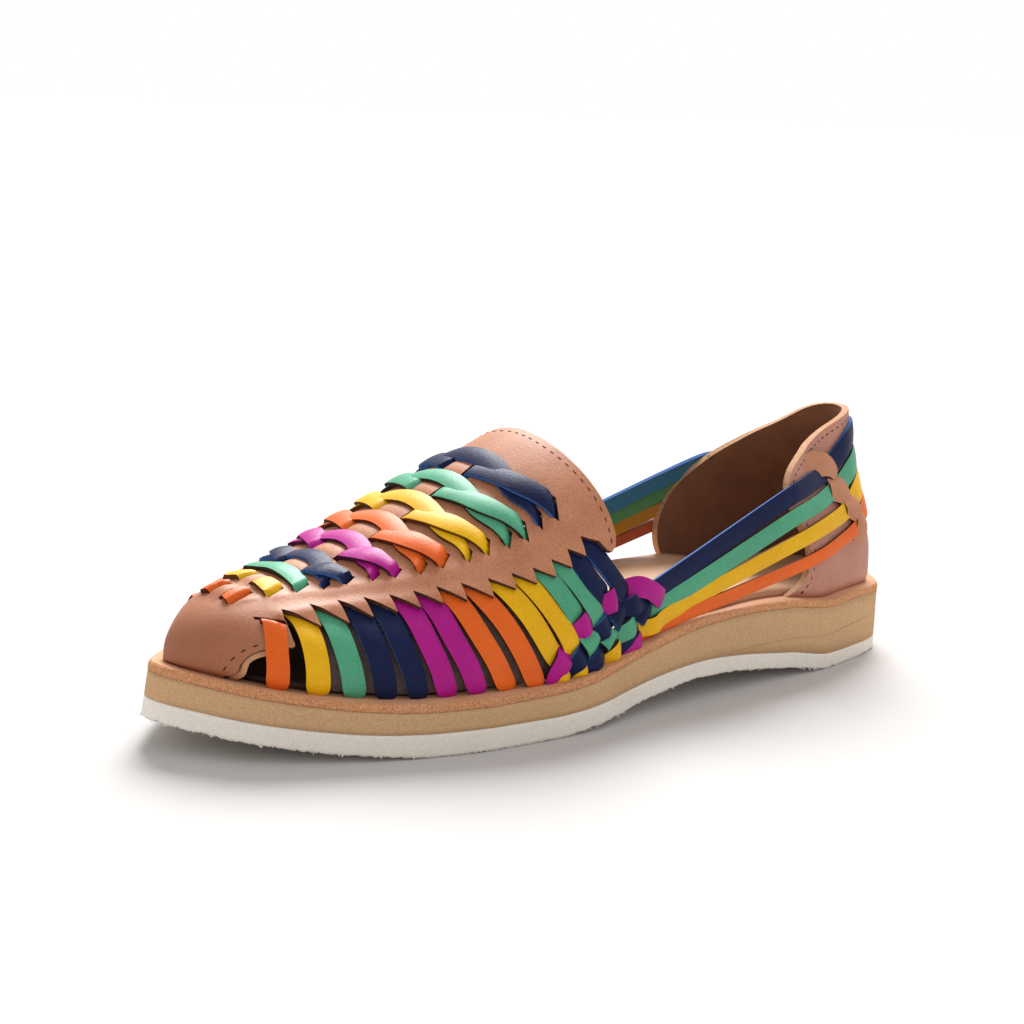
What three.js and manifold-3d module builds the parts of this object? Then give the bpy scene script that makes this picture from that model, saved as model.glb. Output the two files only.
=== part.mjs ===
// A woven leather huarache sandal for the left foot, standing empty on its sole.
//
// Millimetres. While it is built, X runs from the back of the heel to the toe, Y to the outer
// side of the foot and Z up from the floor. The finished group is then centred over its sole.
//
// The sole is three sheets stacked on the floor: rubber outsole, cork-like midsole, leather.
// The upper is one hollow leather wall on a last, open at the throat, between the side strips,
// at the toe's side holes and underneath. A tall cup holds the heel, and four straps run round
// it from one side of the upper to the other.

import * as THREE from 'three';
import { mergeVertices } from 'three/addons/utils/BufferGeometryUtils.js';
import Module from 'manifold-3d';

const wasm = await Module();
wasm.setup();

const SOLE_LENGTH = 262;
const UPPER_TIP = 256;
const JOINT_GAP = 0.3;
const LEATHER_THICK = 2.5;
const UPPER_WALL = 2.2;
const COUNTER_WALL = 2.2;
const STRAP_THICK = 1.6;
const RIDGE_Y = -2;
const COUNTER_PEAK = 77;
const COUNTER_REACH = 74;

// Half widths of the sole, at fractions of its length from the heel.
const SOLE_OUTLINE = [
  { at: 0, outer: 0, inner: 0 },
  { at: 0.02, outer: 13, inner: 13 },
  { at: 0.06, outer: 25, inner: 24 },
  { at: 0.12, outer: 31.2, inner: 31 },
  { at: 0.2, outer: 36, inner: 32.5 },
  { at: 0.3, outer: 37.5, inner: 28 },
  { at: 0.4, outer: 40.5, inner: 24.5 },
  { at: 0.5, outer: 44, inner: 28 },
  { at: 0.6, outer: 49.5, inner: 38 },
  { at: 0.7, outer: 49, inner: 44.6 },
  { at: 0.8, outer: 44, inner: 43 },
  { at: 0.88, outer: 35, inner: 34 },
  { at: 0.94, outer: 25.6, inner: 21.6 },
  { at: 0.98, outer: 13, inner: 9.8 },
  { at: 1, outer: 0, inner: 0 },
];

// The sole's underside lies flat on the floor under the heel and under the ball of the foot,
// with a raised waist between them and a toe spring in front.
const SOLE_PROFILE = [
  { at: 0, underside: 0, outsole: 4, midsole: 14.2 },
  { at: 0.12, underside: 0, outsole: 4.5, midsole: 15.5 },
  { at: 0.17, underside: 0, outsole: 4.7, midsole: 15 },
  { at: 0.25, underside: 3, outsole: 5, midsole: 14 },
  { at: 0.4, underside: 6.5, outsole: 5, midsole: 10.4 },
  { at: 0.55, underside: 2, outsole: 5.8, midsole: 7.5 },
  { at: 0.64, underside: 0, outsole: 6.2, midsole: 6.3 },
  { at: 0.76, underside: 0, outsole: 6.4, midsole: 5.7 },
  { at: 0.85, underside: 1.8, outsole: 5.7, midsole: 6 },
  { at: 1, underside: 8, outsole: 5.3, midsole: 6.8 },
];

// Toward the toe the sole's edge leans forward, square to its spring.
const TOE_LEAN = [
  { at: 0.7, lean: 0 },
  { at: 0.85, lean: 0.08 },
  { at: 1, lean: 0.16 },
];

// Sections of the last, by distance from the back of the heel: the ridge's height above the
// sole, the share of the sole's half width that each side takes, and how square each side is.
const LAST = [
  { x: 100, ridge: 64, outer: 0.97, inner: 0.96, outerSquare: 2.2, innerSquare: 2.4 },
  { x: 143, ridge: 57.5, outer: 0.97, inner: 0.95, outerSquare: 2.15, innerSquare: 2.5 },
  { x: 165, ridge: 50, outer: 0.97, inner: 0.94, outerSquare: 2.15, innerSquare: 2.4 },
  { x: 185, ridge: 41, outer: 0.93, inner: 0.92, outerSquare: 2.2, innerSquare: 2.3 },
  { x: 207, ridge: 31.5, outer: 0.92, inner: 0.92, outerSquare: 2.2, innerSquare: 2.2 },
  { x: 218, ridge: 27.5, outer: 0.92, inner: 0.92, outerSquare: 2.25, innerSquare: 2.25 },
  { x: 239, ridge: 20, outer: 0.95, inner: 0.94, outerSquare: 2.3, innerSquare: 2.3 },
  { x: 250, ridge: 12.5, outer: 0.95, inner: 0.94, outerSquare: 2.3, innerSquare: 2.3 },
  { x: 256, ridge: 0, outer: 0.95, inner: 0.94, outerSquare: 2.3, innerSquare: 2.3 },
];

// The upper's rear edge, from the middle of the throat (around 0) to the sole (around 1).
const REAR_EDGE = [
  { around: 0, x: 143.5 },
  { around: 0.15, x: 143.5 },
  { around: 0.34, x: 141 },
  { around: 0.5, x: 138.5 },
  { around: 0.57, x: 139 },
  { around: 0.62, x: 141.5 },
  { around: 0.67, x: 141.5 },
  { around: 0.74, x: 136 },
  { around: 0.81, x: 127 },
  { around: 0.87, x: 122.5 },
  { around: 0.93, x: 122 },
  { around: 1, x: 128 },
];

// The gaps between the side strips, counted from the toe: where each gap's ends are.
const STRIP_GAPS = {
  count: 14,
  topX: 236.2,
  topPitch: 6.5,
  bottomX: 236.3,
  bottomPitch: 8.6,
  wovenFrom: 9,
  topWidth: 0.9,
  bottomWidth: 2,
};

// Where each gap starts below the top band, and where the woven part closes it.
const STRIP_GAP_ENDS = [
  { gap: 0, top: 0.59, bottom: 1.04 },
  { gap: 4, top: 0.62, bottom: 1.04 },
  { gap: 8, top: 0.66, bottom: 1.04 },
  { gap: 9, top: 0.65, bottom: 0.88 },
  { gap: 11, top: 0.64, bottom: 0.8 },
  { gap: 13, top: 0.6, bottom: 0.7 },
];

// The side hole behind the toe cap: its rear edge, and how far forward it reaches at the sole.
const TOE_HOLE = { top: 0.77, rearX: 243.5, reach: 7 };

// The insole's ends, and its share of the sole's half width at fractions of its own length.
const INSOLE = {
  thick: 1.8,
  rear: 8,
  front: 252,
  shares: [
    { at: 0, share: 0.83 },
    { at: 0.25, share: 0.84 },
    { at: 0.36, share: 0.9 },
    { at: 0.46, share: 0.84 },
    { at: 0.75, share: 0.845 },
    { at: 1, share: 0.84 },
  ],
};

// The heel cup's outline at its foot follows the sole, and at its peak it is this narrower curve,
// by the distance forward of its back.
const COUNTER_FOOT_SHARE = 0.93;
const COUNTER_TOP_OUTLINE = [
  { behind: 0, outer: 0, inner: 0 },
  { behind: 4, outer: 8, inner: 8 },
  { behind: 13, outer: 12, inner: 13 },
  { behind: 25, outer: 13.5, inner: 18 },
  { behind: 36, outer: 16.5, inner: 21 },
  { behind: 45, outer: 20.5, inner: 23 },
  { behind: 74, outer: 30, inner: 28 },
];

// How far the cup has narrowed from foot to peak, and where its back is, by the share of height.
const COUNTER_LEAN = [
  { up: 0, narrowed: 0, back: 3.5 },
  { up: 0.22, narrowed: 0.05, back: 4 },
  { up: 0.35, narrowed: 0.16, back: 5.6 },
  { up: 0.45, narrowed: 0.3, back: 7 },
  { up: 0.67, narrowed: 0.78, back: 10 },
  { up: 0.8, narrowed: 0.93, back: 11.8 },
  { up: 1, narrowed: 1, back: 13.3 },
];

// The cup's rim and front edge seen from the side, from the peak down to the sole.
const COUNTER_OUTER_EDGE = [
  { x: 13.5, z: 77 }, { x: 22, z: 75.2 }, { x: 34, z: 71.4 }, { x: 52, z: 65.4 }, { x: 58, z: 62.2 },
  { x: 61, z: 58.5 }, { x: 61, z: 54 }, { x: 58, z: 46 }, { x: 55, z: 38 }, { x: 55.6, z: 32.5 },
  { x: 58, z: 28.5 }, { x: 67, z: 22.8 },
];
const COUNTER_INNER_EDGE = [
  { x: 13.5, z: 77 }, { x: 19, z: 74.5 }, { x: 26, z: 70 }, { x: 36, z: 65 }, { x: 47, z: 58.7 },
  { x: 55, z: 52.5 }, { x: 62, z: 45 }, { x: 66, z: 37 }, { x: 66, z: 31 }, { x: 62, z: 22 },
];

// Each heel strap runs from the woven part on the outer side, round the heel cup, to the inner
// side. Heights are the strap's middle, and its width differs between the front and the heel.
const STRAP_STATIONS = {
  front: 120.5,
  outerWaist: 103,
  outerCup: 62,
  innerCup: 65,
  innerWaist: 90,
};
const STRAPS = [
  {
    name: 'heel_strap_navy', colour: 0x1b2550, frontWidth: 5.6, heelWidth: 7.4,
    outer: { front: 36.6, waist: 41.7, waistY: 35, cup: 56 }, back: 70,
    inner: { front: 41.2, waist: 47, waistY: 28.5, cup: 52 },
  },
  {
    name: 'heel_strap_mint', colour: 0x5bb387, frontWidth: 4, heelWidth: 6.7,
    outer: { front: 31.1, waist: 35, waistY: 36, cup: 48.6 }, back: 62.4,
    inner: { front: 35.6, waist: 41.2, waistY: 28.5, cup: 46.4 },
  },
  {
    name: 'heel_strap_yellow', colour: 0xebc20a, frontWidth: 3, heelWidth: 5.6,
    outer: { front: 27.3, waist: 30.4, waistY: 37.3, cup: 42 }, back: 55.6,
    inner: { front: 31, waist: 36.6, waistY: 28.5, cup: 42 },
  },
  {
    name: 'heel_strap_orange', colour: 0xec6424, frontWidth: 2.4, heelWidth: 6.4,
    outer: { front: 24.2, waist: 27, waistY: 38.4, cup: 34.5 }, back: 49,
    inner: { front: 27, waist: 31.8, waistY: 28.5, cup: 37.8 },
  },
];

// A smooth rule through one column of a table, with no overshoot between its rows. Powers of 2
// are drawn through squared values, which gives a column that ends in 0 a round end.
function ruleFor(table, key, column, power = 1) {
  const xs = table.map((row) => row[key]);
  const ys = table.map((row) => row[column] ** power);
  const last = xs.length - 1;
  const slopes = xs.slice(1).map((x, i) => (ys[i + 1] - ys[i]) / (x - xs[i]));
  const tangents = xs.map((_, i) => {
    if (i === 0) return slopes[0];
    if (i === last) return slopes[last - 1];
    const before = slopes[i - 1];
    const after = slopes[i];
    if (before * after <= 0) return 0;
    return (2 * before * after) / (before + after);
  });
  return (x) => {
    const at = Math.min(Math.max(x, xs[0]), xs[last]);
    let i = 0;
    while (i < last - 1 && at > xs[i + 1]) i += 1;
    const span = xs[i + 1] - xs[i];
    const u = (at - xs[i]) / span;
    const start = ys[i] * (1 + 2 * u) * (1 - u) ** 2 + ys[i + 1] * u * u * (3 - 2 * u);
    const bend = span * u * (1 - u) * (tangents[i] * (1 - u) - tangents[i + 1] * u);
    return Math.max(start + bend, 0) ** (1 / power);
  };
}

const soleOuter = ruleFor(SOLE_OUTLINE, 'at', 'outer', 2);
const soleInner = ruleFor(SOLE_OUTLINE, 'at', 'inner', 2);
const underside = ruleFor(SOLE_PROFILE, 'at', 'underside');
const outsoleThick = ruleFor(SOLE_PROFILE, 'at', 'outsole');
const midsoleThick = ruleFor(SOLE_PROFILE, 'at', 'midsole');
const toeLean = ruleFor(TOE_LEAN, 'at', 'lean');

// Heights of the sole's joints at a distance x from the back of the heel.
const outsoleTop = (x) => underside(x / SOLE_LENGTH) + outsoleThick(x / SOLE_LENGTH);
const midsoleTop = (x) => outsoleTop(x) + midsoleThick(x / SOLE_LENGTH);
const soleTop = (x) => midsoleTop(x) + LEATHER_THICK;

// Half width of the sole on the side of y's sign.
function soleHalfWidth(x, side) {
  return side >= 0 ? soleOuter(x / SOLE_LENGTH) : soleInner(x / SOLE_LENGTH);
}

// A closed solid between a front and a back sheet of rows by columns. Each sheet is a function
// of (u, v) from 0 to 1, and four edge walls join them. Corners that coincide are merged.
function sheetSolid(rows, columns, front, back) {
  const sheets = [front, back].map((sheet) => {
    const grid = [];
    for (let i = 0; i <= rows; i += 1) {
      for (let j = 0; j <= columns; j += 1) {
        grid.push(sheet(i / rows, j / columns));
      }
    }
    return grid;
  });
  const points = sheets.flat();
  const layer = sheets[0].length;
  const corner = (i, j, side) => side * layer + i * (columns + 1) + j;
  const triangles = [];
  const quad = (a, b, c, d) => triangles.push([a, b, c], [a, c, d]);
  for (let i = 0; i < rows; i += 1) {
    for (let j = 0; j < columns; j += 1) {
      quad(corner(i, j, 0), corner(i + 1, j, 0), corner(i + 1, j + 1, 0), corner(i, j + 1, 0));
      quad(corner(i, j, 1), corner(i, j + 1, 1), corner(i + 1, j + 1, 1), corner(i + 1, j, 1));
    }
  }
  for (let i = 0; i < rows; i += 1) {
    quad(corner(i, 0, 0), corner(i, 0, 1), corner(i + 1, 0, 1), corner(i + 1, 0, 0));
    quad(corner(i, columns, 0), corner(i + 1, columns, 0), corner(i + 1, columns, 1), corner(i, columns, 1));
  }
  for (let j = 0; j < columns; j += 1) {
    quad(corner(0, j, 0), corner(0, j + 1, 0), corner(0, j + 1, 1), corner(0, j, 1));
    quad(corner(rows, j, 0), corner(rows, j, 1), corner(rows, j + 1, 1), corner(rows, j + 1, 0));
  }
  const geometry = new THREE.BufferGeometry().setFromPoints(points);
  geometry.setIndex(triangles.flat());
  return closed(geometry);
}

// Shared corners merged, collapsed triangles dropped, and faces turned outward.
function closed(geometry) {
  geometry.deleteAttribute('normal');
  geometry.deleteAttribute('uv');
  const merged = mergeVertices(geometry, 0.0005);
  const index = merged.getIndex().array;
  const position = merged.getAttribute('position');
  const at = (i) => new THREE.Vector3().fromBufferAttribute(position, i);
  const kept = [];
  let volume = 0;
  for (let i = 0; i < index.length; i += 3) {
    const [a, b, c] = index.slice(i, i + 3);
    if (a === b || b === c || c === a) continue;
    kept.push([a, b, c]);
    volume += at(a).dot(at(b).cross(at(c)));
  }
  if (volume < 0) kept.forEach((face) => face.reverse());
  merged.setIndex(kept.flat());
  return merged;
}

function toSolid(geometry) {
  const mesh = new wasm.Mesh({
    numProp: 3,
    vertProperties: new Float32Array(geometry.getAttribute('position').array),
    triVerts: new Uint32Array(geometry.getIndex().array),
  });
  return new wasm.Manifold(mesh);
}

function toGeometry(solid) {
  const mesh = solid.getMesh();
  const geometry = new THREE.BufferGeometry();
  geometry.setAttribute('position', new THREE.BufferAttribute(mesh.vertProperties, 3));
  geometry.setIndex(new THREE.BufferAttribute(mesh.triVerts, 1));
  return geometry;
}

function piece(name, geometry, colour, roughness) {
  const flat = geometry.toNonIndexed();
  flat.computeVertexNormals();
  const material = new THREE.MeshStandardMaterial({ color: colour, roughness, metalness: 0 });
  const mesh = new THREE.Mesh(flat, material);
  mesh.name = name;
  return mesh;
}

// ---- sole ----

// One sheet of the sole between two heights. Stations crowd toward the round ends.
const SOLE_STATIONS = 48;

function soleSheet(bottomAt, topAt) {
  const station = (u) => (SOLE_LENGTH / 2) * (1 - Math.cos(Math.PI * u));
  const sheet = (heightAt) => (u, v) => {
    const x = station(u);
    const side = v < 0.5 ? -1 : 1;
    const z = heightAt(x);
    const forward = toeLean(x / SOLE_LENGTH) * (soleTop(x) - z);
    return new THREE.Vector3(x + forward, side * soleHalfWidth(x, side), z);
  };
  return sheetSolid(SOLE_STATIONS, 1, sheet(topAt), sheet(bottomAt));
}

function outsole() {
  return soleSheet((x) => underside(x / SOLE_LENGTH), outsoleTop);
}

function midsole() {
  return soleSheet((x) => outsoleTop(x) + JOINT_GAP, midsoleTop);
}

function leatherMidsole() {
  return soleSheet((x) => midsoleTop(x) + JOINT_GAP, soleTop);
}

// ---- the last and the upper ----

const lastRidge = ruleFor(LAST, 'x', 'ridge', 2);
const lastOuter = ruleFor(LAST, 'x', 'outer');
const lastInner = ruleFor(LAST, 'x', 'inner');
const outerSquare = ruleFor(LAST, 'x', 'outerSquare');
const innerSquare = ruleFor(LAST, 'x', 'innerSquare');
const STRETCH_FROM = 130;

// The upper's outline follows the sole's, drawn back so that it ends at the upper's tip.
function lastHalfWidth(x, side) {
  const stretch = (SOLE_LENGTH - STRETCH_FROM) / (UPPER_TIP - STRETCH_FROM);
  const soleX = x > STRETCH_FROM ? STRETCH_FROM + (x - STRETCH_FROM) * stretch : x;
  const share = side >= 0 ? lastOuter(x) : lastInner(x);
  return soleHalfWidth(soleX, side) * share;
}

// A place on the last: x along the foot, and around from -1 at the inner edge of the sole over
// the ridge at 0 to 1 at the outer edge.
function onLast(x, around) {
  const angle = (around * Math.PI) / 2;
  const square = around >= 0 ? outerSquare(x) : innerSquare(x);
  const width = lastHalfWidth(x, around) + (around >= 0 ? -RIDGE_Y : RIDGE_Y);
  const across = Math.abs(Math.sin(angle)) / Math.max(width, 0.001);
  const upward = Math.abs(Math.cos(angle)) / Math.max(lastRidge(x), 0.001);
  const reach = (across ** square + upward ** square) ** (-1 / square);
  const z = soleTop(x) + JOINT_GAP + reach * Math.cos(angle);
  return new THREE.Vector3(x, RIDGE_Y + reach * Math.sin(angle), z);
}

// The same place moved square to the last, outward for a positive lift.
function offLast(x, around, lift) {
  const step = 0.4;
  const turn = 0.004;
  const at = Math.min(x, UPPER_TIP - step);
  const side = Math.max(-1 + turn, Math.min(1 - turn, around));
  const along = onLast(at + step / 2, side).sub(onLast(at - step / 2, side));
  const over = onLast(at, side + turn).sub(onLast(at, side - turn));
  const normal = over.cross(along).normalize().negate();
  if (Math.abs(around) >= 1) normal.setZ(0).normalize();
  return onLast(x, around).addScaledVector(normal, lift);
}

const rearEdge = ruleFor(REAR_EDGE, 'around', 'x');

function upperShell() {
  const rows = 16;
  const columns = 34;
  const sheet = (lift) => (u, v) => {
    const around = 2 * v - 1;
    const rear = rearEdge(Math.abs(around));
    const x = rear + (UPPER_TIP - rear) * Math.sin((u * Math.PI) / 2);
    return offLast(x, around, lift);
  };
  return toSolid(sheetSolid(rows, columns, sheet(0), sheet(-UPPER_WALL)));
}

// A cutter that goes through the wall. Its edges are functions of u, which runs from its upper
// end to its lower end: around says how far down, and front and rear are distances x.
function wallCutter(rows, side, around, front, rear) {
  const through = 3;
  const sheet = (lift) => (u, v) => {
    const x = rear(u) + (front(u) - rear(u)) * v;
    const down = around(u);
    const place = offLast(x, side * Math.min(down, 1), lift);
    if (down > 1) place.z -= through;
    return place;
  };
  return toSolid(sheetSolid(rows, 1, sheet(through), sheet(-UPPER_WALL - through)));
}

function stripGapCutter(index, side) {
  const gaps = STRIP_GAPS;
  const endOf = (column) => ruleFor(STRIP_GAP_ENDS, 'gap', column)(index);
  const down = (u) => endOf('top') + (endOf('bottom') - endOf('top')) * u;
  const topX = gaps.topX - gaps.topPitch * index;
  const bottomX = gaps.bottomX - gaps.bottomPitch * Math.min(index, gaps.wovenFrom)
    - gaps.topPitch * Math.max(index - gaps.wovenFrom, 0);
  const middle = (u) => topX + (bottomX - topX) * ((down(u) - endOf('top')) / (1 - endOf('top')));
  const half = (u) => (gaps.topWidth + (gaps.bottomWidth - gaps.topWidth) * u) / 2;
  return wallCutter(4, side, down, (u) => middle(u) + half(u), (u) => middle(u) - half(u));
}

function toeHoleCutter(side) {
  const depth = 1.04 - TOE_HOLE.top;
  const down = (u) => TOE_HOLE.top + depth * u;
  const front = (u) => TOE_HOLE.rearX + 0.4 + TOE_HOLE.reach * Math.sqrt(u);
  return wallCutter(5, side, down, front, () => TOE_HOLE.rearX);
}

function upper() {
  let wall = upperShell();
  for (const side of [-1, 1]) {
    wall = wall.subtract(toeHoleCutter(side));
    for (let index = 0; index < STRIP_GAPS.count; index += 1) {
      wall = wall.subtract(stripGapCutter(index, side));
    }
  }
  return toGeometry(wall);
}

// ---- insole ----

// A thin leather sheet on the sole, inside the upper and the heel cup: a smaller copy of the
// sole's outline.
const insoleShare = ruleFor(INSOLE.shares, 'at', 'share');

function insole() {
  const length = INSOLE.front - INSOLE.rear;
  const sheet = (height) => (u, v) => {
    const at = (1 - Math.cos(Math.PI * u)) / 2;
    const side = v < 0.5 ? -1 : 1;
    const x = INSOLE.rear + length * at;
    const width = soleHalfWidth(at * SOLE_LENGTH, side) * insoleShare(at);
    return new THREE.Vector3(x, side * width, soleTop(x) + height);
  };
  return sheetSolid(48, 1, sheet(JOINT_GAP + INSOLE.thick), sheet(JOINT_GAP));
}

// ---- heel counter ----

const COUNTER_FOOT = 22;
const peakOuter = ruleFor(COUNTER_TOP_OUTLINE, 'behind', 'outer', 2);
const peakInner = ruleFor(COUNTER_TOP_OUTLINE, 'behind', 'inner', 2);
const cupNarrowed = ruleFor(COUNTER_LEAN, 'up', 'narrowed');
const cupBack = ruleFor(COUNTER_LEAN, 'up', 'back');

// A place on the heel cup: turn from -1 at its inner front edge round the heel at 0 to 1 at its
// outer front edge, and the height above the floor.
function onCup(turn, z) {
  const up = (z - COUNTER_FOOT) / (COUNTER_PEAK - COUNTER_FOOT);
  const back = cupBack(up);
  const reach = COUNTER_REACH * (1 - Math.cos((Math.abs(turn) * Math.PI) / 2));
  const foot = soleHalfWidth(reach, turn) * COUNTER_FOOT_SHARE;
  const peak = turn >= 0 ? peakOuter(reach) : peakInner(reach);
  const width = foot + (peak - foot) * cupNarrowed(up);
  return new THREE.Vector3(back + reach * (1 - back / COUNTER_REACH), Math.sign(turn) * width, z);
}

function cupNormal(turn, z) {
  const turnStep = 0.01;
  const rise = 0.5;
  const round = onCup(turn + turnStep, z).sub(onCup(turn - turnStep, z));
  const up = onCup(turn, z + rise).sub(onCup(turn, z - rise));
  return round.cross(up).normalize().negate();
}

function offCup(turn, z, lift) {
  return onCup(turn, z).addScaledVector(cupNormal(turn, z), lift);
}

// The block that keeps one side of the cup: its rim and front edge in side view, across from
// one y to another.
function cupSideBlock(edge, yFrom, yTo) {
  const rear = -12;
  const floor = 12;
  const outline = new THREE.Shape();
  outline.moveTo(rear, floor);
  outline.lineTo(rear, COUNTER_PEAK);
  outline.lineTo(edge[0].x, edge[0].z);
  outline.splineThru(edge.slice(1).map((point) => new THREE.Vector2(point.x, point.z)));
  outline.lineTo(edge[edge.length - 1].x, floor);
  const depth = yTo - yFrom;
  const block = new THREE.ExtrudeGeometry(outline, { depth, bevelEnabled: false, curveSegments: 3 });
  block.rotateX(Math.PI / 2);
  block.translate(0, yTo, 0);
  return toSolid(closed(block));
}

function heelCounter() {
  const sheet = (lift) => (u, v) => {
    const turn = 2 * v - 1;
    const place = offCup(turn, COUNTER_FOOT + (COUNTER_PEAK + 2 - COUNTER_FOOT) * u, lift);
    if (u === 0) place.z = soleTop(place.x) + JOINT_GAP;
    return place;
  };
  const cup = toSolid(sheetSolid(10, 36, sheet(0), sheet(-COUNTER_WALL)));
  const outerBlock = cupSideBlock(COUNTER_OUTER_EDGE, RIDGE_Y, 60);
  const innerBlock = cupSideBlock(COUNTER_INNER_EDGE, -60, RIDGE_Y);
  return toGeometry(cup.intersect(outerBlock.add(innerBlock)));
}

// ---- heel straps ----

// The cup's turn where a strap's height z meets the distance x.
function turnAt(x, z) {
  const up = (z - COUNTER_FOOT) / (COUNTER_PEAK - COUNTER_FOOT);
  const back = cupBack(up);
  const reach = (x - back) / (1 - back / COUNTER_REACH);
  return (Math.acos(1 - reach / COUNTER_REACH) * 2) / Math.PI;
}

// A strap's sections, from its outer front end round the heel to its inner front end: middle,
// the direction across its width, and its width.
function strapSections(strap) {
  const standoff = 0.45 + STRAP_THICK / 2;
  const stations = STRAP_STATIONS;
  const front = (side, ends) => {
    const edge = onLast(stations.front, side * 0.93);
    const y = edge.y - side * (STRAP_THICK / 2);
    return { middle: new THREE.Vector3(stations.front, y, ends.front), wide: 0 };
  };
  const waist = (side, ends, x) => {
    return { middle: new THREE.Vector3(x, side * ends.waistY, ends.waist), wide: 0 };
  };
  const around = [];
  const steps = 26;
  const outerTurn = turnAt(stations.outerCup, strap.outer.cup);
  const innerTurn = turnAt(stations.innerCup, strap.inner.cup);
  for (let i = 0; i <= steps; i += 1) {
    const turn = outerTurn - (outerTurn + innerTurn) * (i / steps);
    const ends = turn >= 0 ? strap.outer : strap.inner;
    const share = Math.abs(turn) / (turn >= 0 ? outerTurn : innerTurn);
    const z = strap.back + (ends.cup - strap.back) * share ** 1.6;
    const wide = Math.min(1, (1 - share) * 1.4 + (turn >= 0 ? 0.6 : 0));
    around.push({ middle: offCup(turn, z, standoff), wide, normal: cupNormal(turn, z) });
  }
  const sections = [
    front(1, strap.outer),
    waist(1, strap.outer, stations.outerWaist),
    ...around,
    waist(-1, strap.inner, stations.innerWaist),
    front(-1, strap.inner),
  ];
  const curve = new THREE.CatmullRomCurve3(sections.map((s) => s.middle), false, 'centripetal');
  const rows = 44;
  const last = sections.length - 1;
  return Array.from({ length: rows + 1 }, (_, i) => {
    const t = (i / rows) * last;
    const low = Math.min(Math.floor(t), last - 1);
    const mix = t - low;
    const middle = curve.getPoint(i / rows);
    const tangent = curve.getTangent(i / rows);
    const normals = [sections[low], sections[low + 1]].map((s) => {
      if (s.normal) return s.normal;
      return new THREE.Vector3(0, Math.sign(s.middle.y), 0);
    });
    const outward = normals[0].clone().lerp(normals[1], mix);
    outward.addScaledVector(tangent, -outward.dot(tangent)).normalize();
    const across = tangent.clone().cross(outward);
    if (across.z < 0) across.negate();
    const wide = sections[low].wide + (sections[low + 1].wide - sections[low].wide) * mix;
    const width = strap.frontWidth + (strap.heelWidth - strap.frontWidth) * wide;
    return { middle, outward, across, width };
  });
}

function heelStrap(strap) {
  const sections = strapSections(strap);
  const rows = sections.length - 1;
  const sheet = (side) => (u, v) => {
    const section = sections[Math.round(u * rows)];
    return section.middle.clone()
      .addScaledVector(section.across, (v - 0.5) * section.width)
      .addScaledVector(section.outward, (side * STRAP_THICK) / 2);
  };
  return sheetSolid(rows, 1, sheet(1), sheet(-1));
}

// ---- the shoe ----

const shoe = new THREE.Group();
shoe.add(piece('outsole', outsole(), 0xdad5cd, 0.8));
shoe.add(piece('midsole', midsole(), 0xc4a67a, 0.85));
shoe.add(piece('leather_midsole', leatherMidsole(), 0xd09a70, 0.8));
shoe.add(piece('insole', insole(), 0xddb592, 0.6));
shoe.add(piece('upper', upper(), 0xc08a6c, 0.45));
shoe.add(piece('heel_counter', heelCounter(), 0xc08a6c, 0.45));
for (const strap of STRAPS) {
  shoe.add(piece(strap.name, heelStrap(strap), strap.colour, 0.45));
}

// The origin is on the floor, under the middle of the whole shoe.
const bounds = new THREE.Box3().setFromObject(shoe);
const centre = bounds.getCenter(new THREE.Vector3());
shoe.position.set(-centre.x, -centre.y, -bounds.min.z);

export default shoe;
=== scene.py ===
import random
from bisect import bisect_right
from functools import lru_cache
from math import acos, copysign, cos, exp, pi, radians, sin, sqrt

import bmesh
import bpy
from mathutils import Matrix, Vector, noise


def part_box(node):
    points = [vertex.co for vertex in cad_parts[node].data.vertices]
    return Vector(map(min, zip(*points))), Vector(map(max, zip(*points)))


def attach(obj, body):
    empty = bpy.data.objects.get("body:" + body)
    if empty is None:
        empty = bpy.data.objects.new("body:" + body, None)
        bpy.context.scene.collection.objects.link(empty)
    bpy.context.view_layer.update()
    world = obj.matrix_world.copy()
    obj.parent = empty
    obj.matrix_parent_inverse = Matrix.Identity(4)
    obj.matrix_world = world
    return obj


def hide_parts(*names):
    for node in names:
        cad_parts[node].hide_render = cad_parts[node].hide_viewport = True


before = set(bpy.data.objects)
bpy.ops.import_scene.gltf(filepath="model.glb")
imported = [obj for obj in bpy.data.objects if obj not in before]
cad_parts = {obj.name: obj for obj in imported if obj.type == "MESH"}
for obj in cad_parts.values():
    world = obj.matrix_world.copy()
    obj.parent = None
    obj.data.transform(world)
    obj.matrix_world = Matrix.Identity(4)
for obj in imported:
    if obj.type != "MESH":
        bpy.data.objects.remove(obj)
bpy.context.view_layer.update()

# ---- outsole ----
# The bottom sheet of off-white rubber. It is cut to the sole's outline after it is glued on,
# which leaves its lower edge torn and a few crumbs hanging from it. It lies flat under the heel
# and the ball, and is raised at the waist and the toe.

MM = 0.001
SOLE_LENGTH = 262
LEATHER_THICK = 2.5


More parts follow.
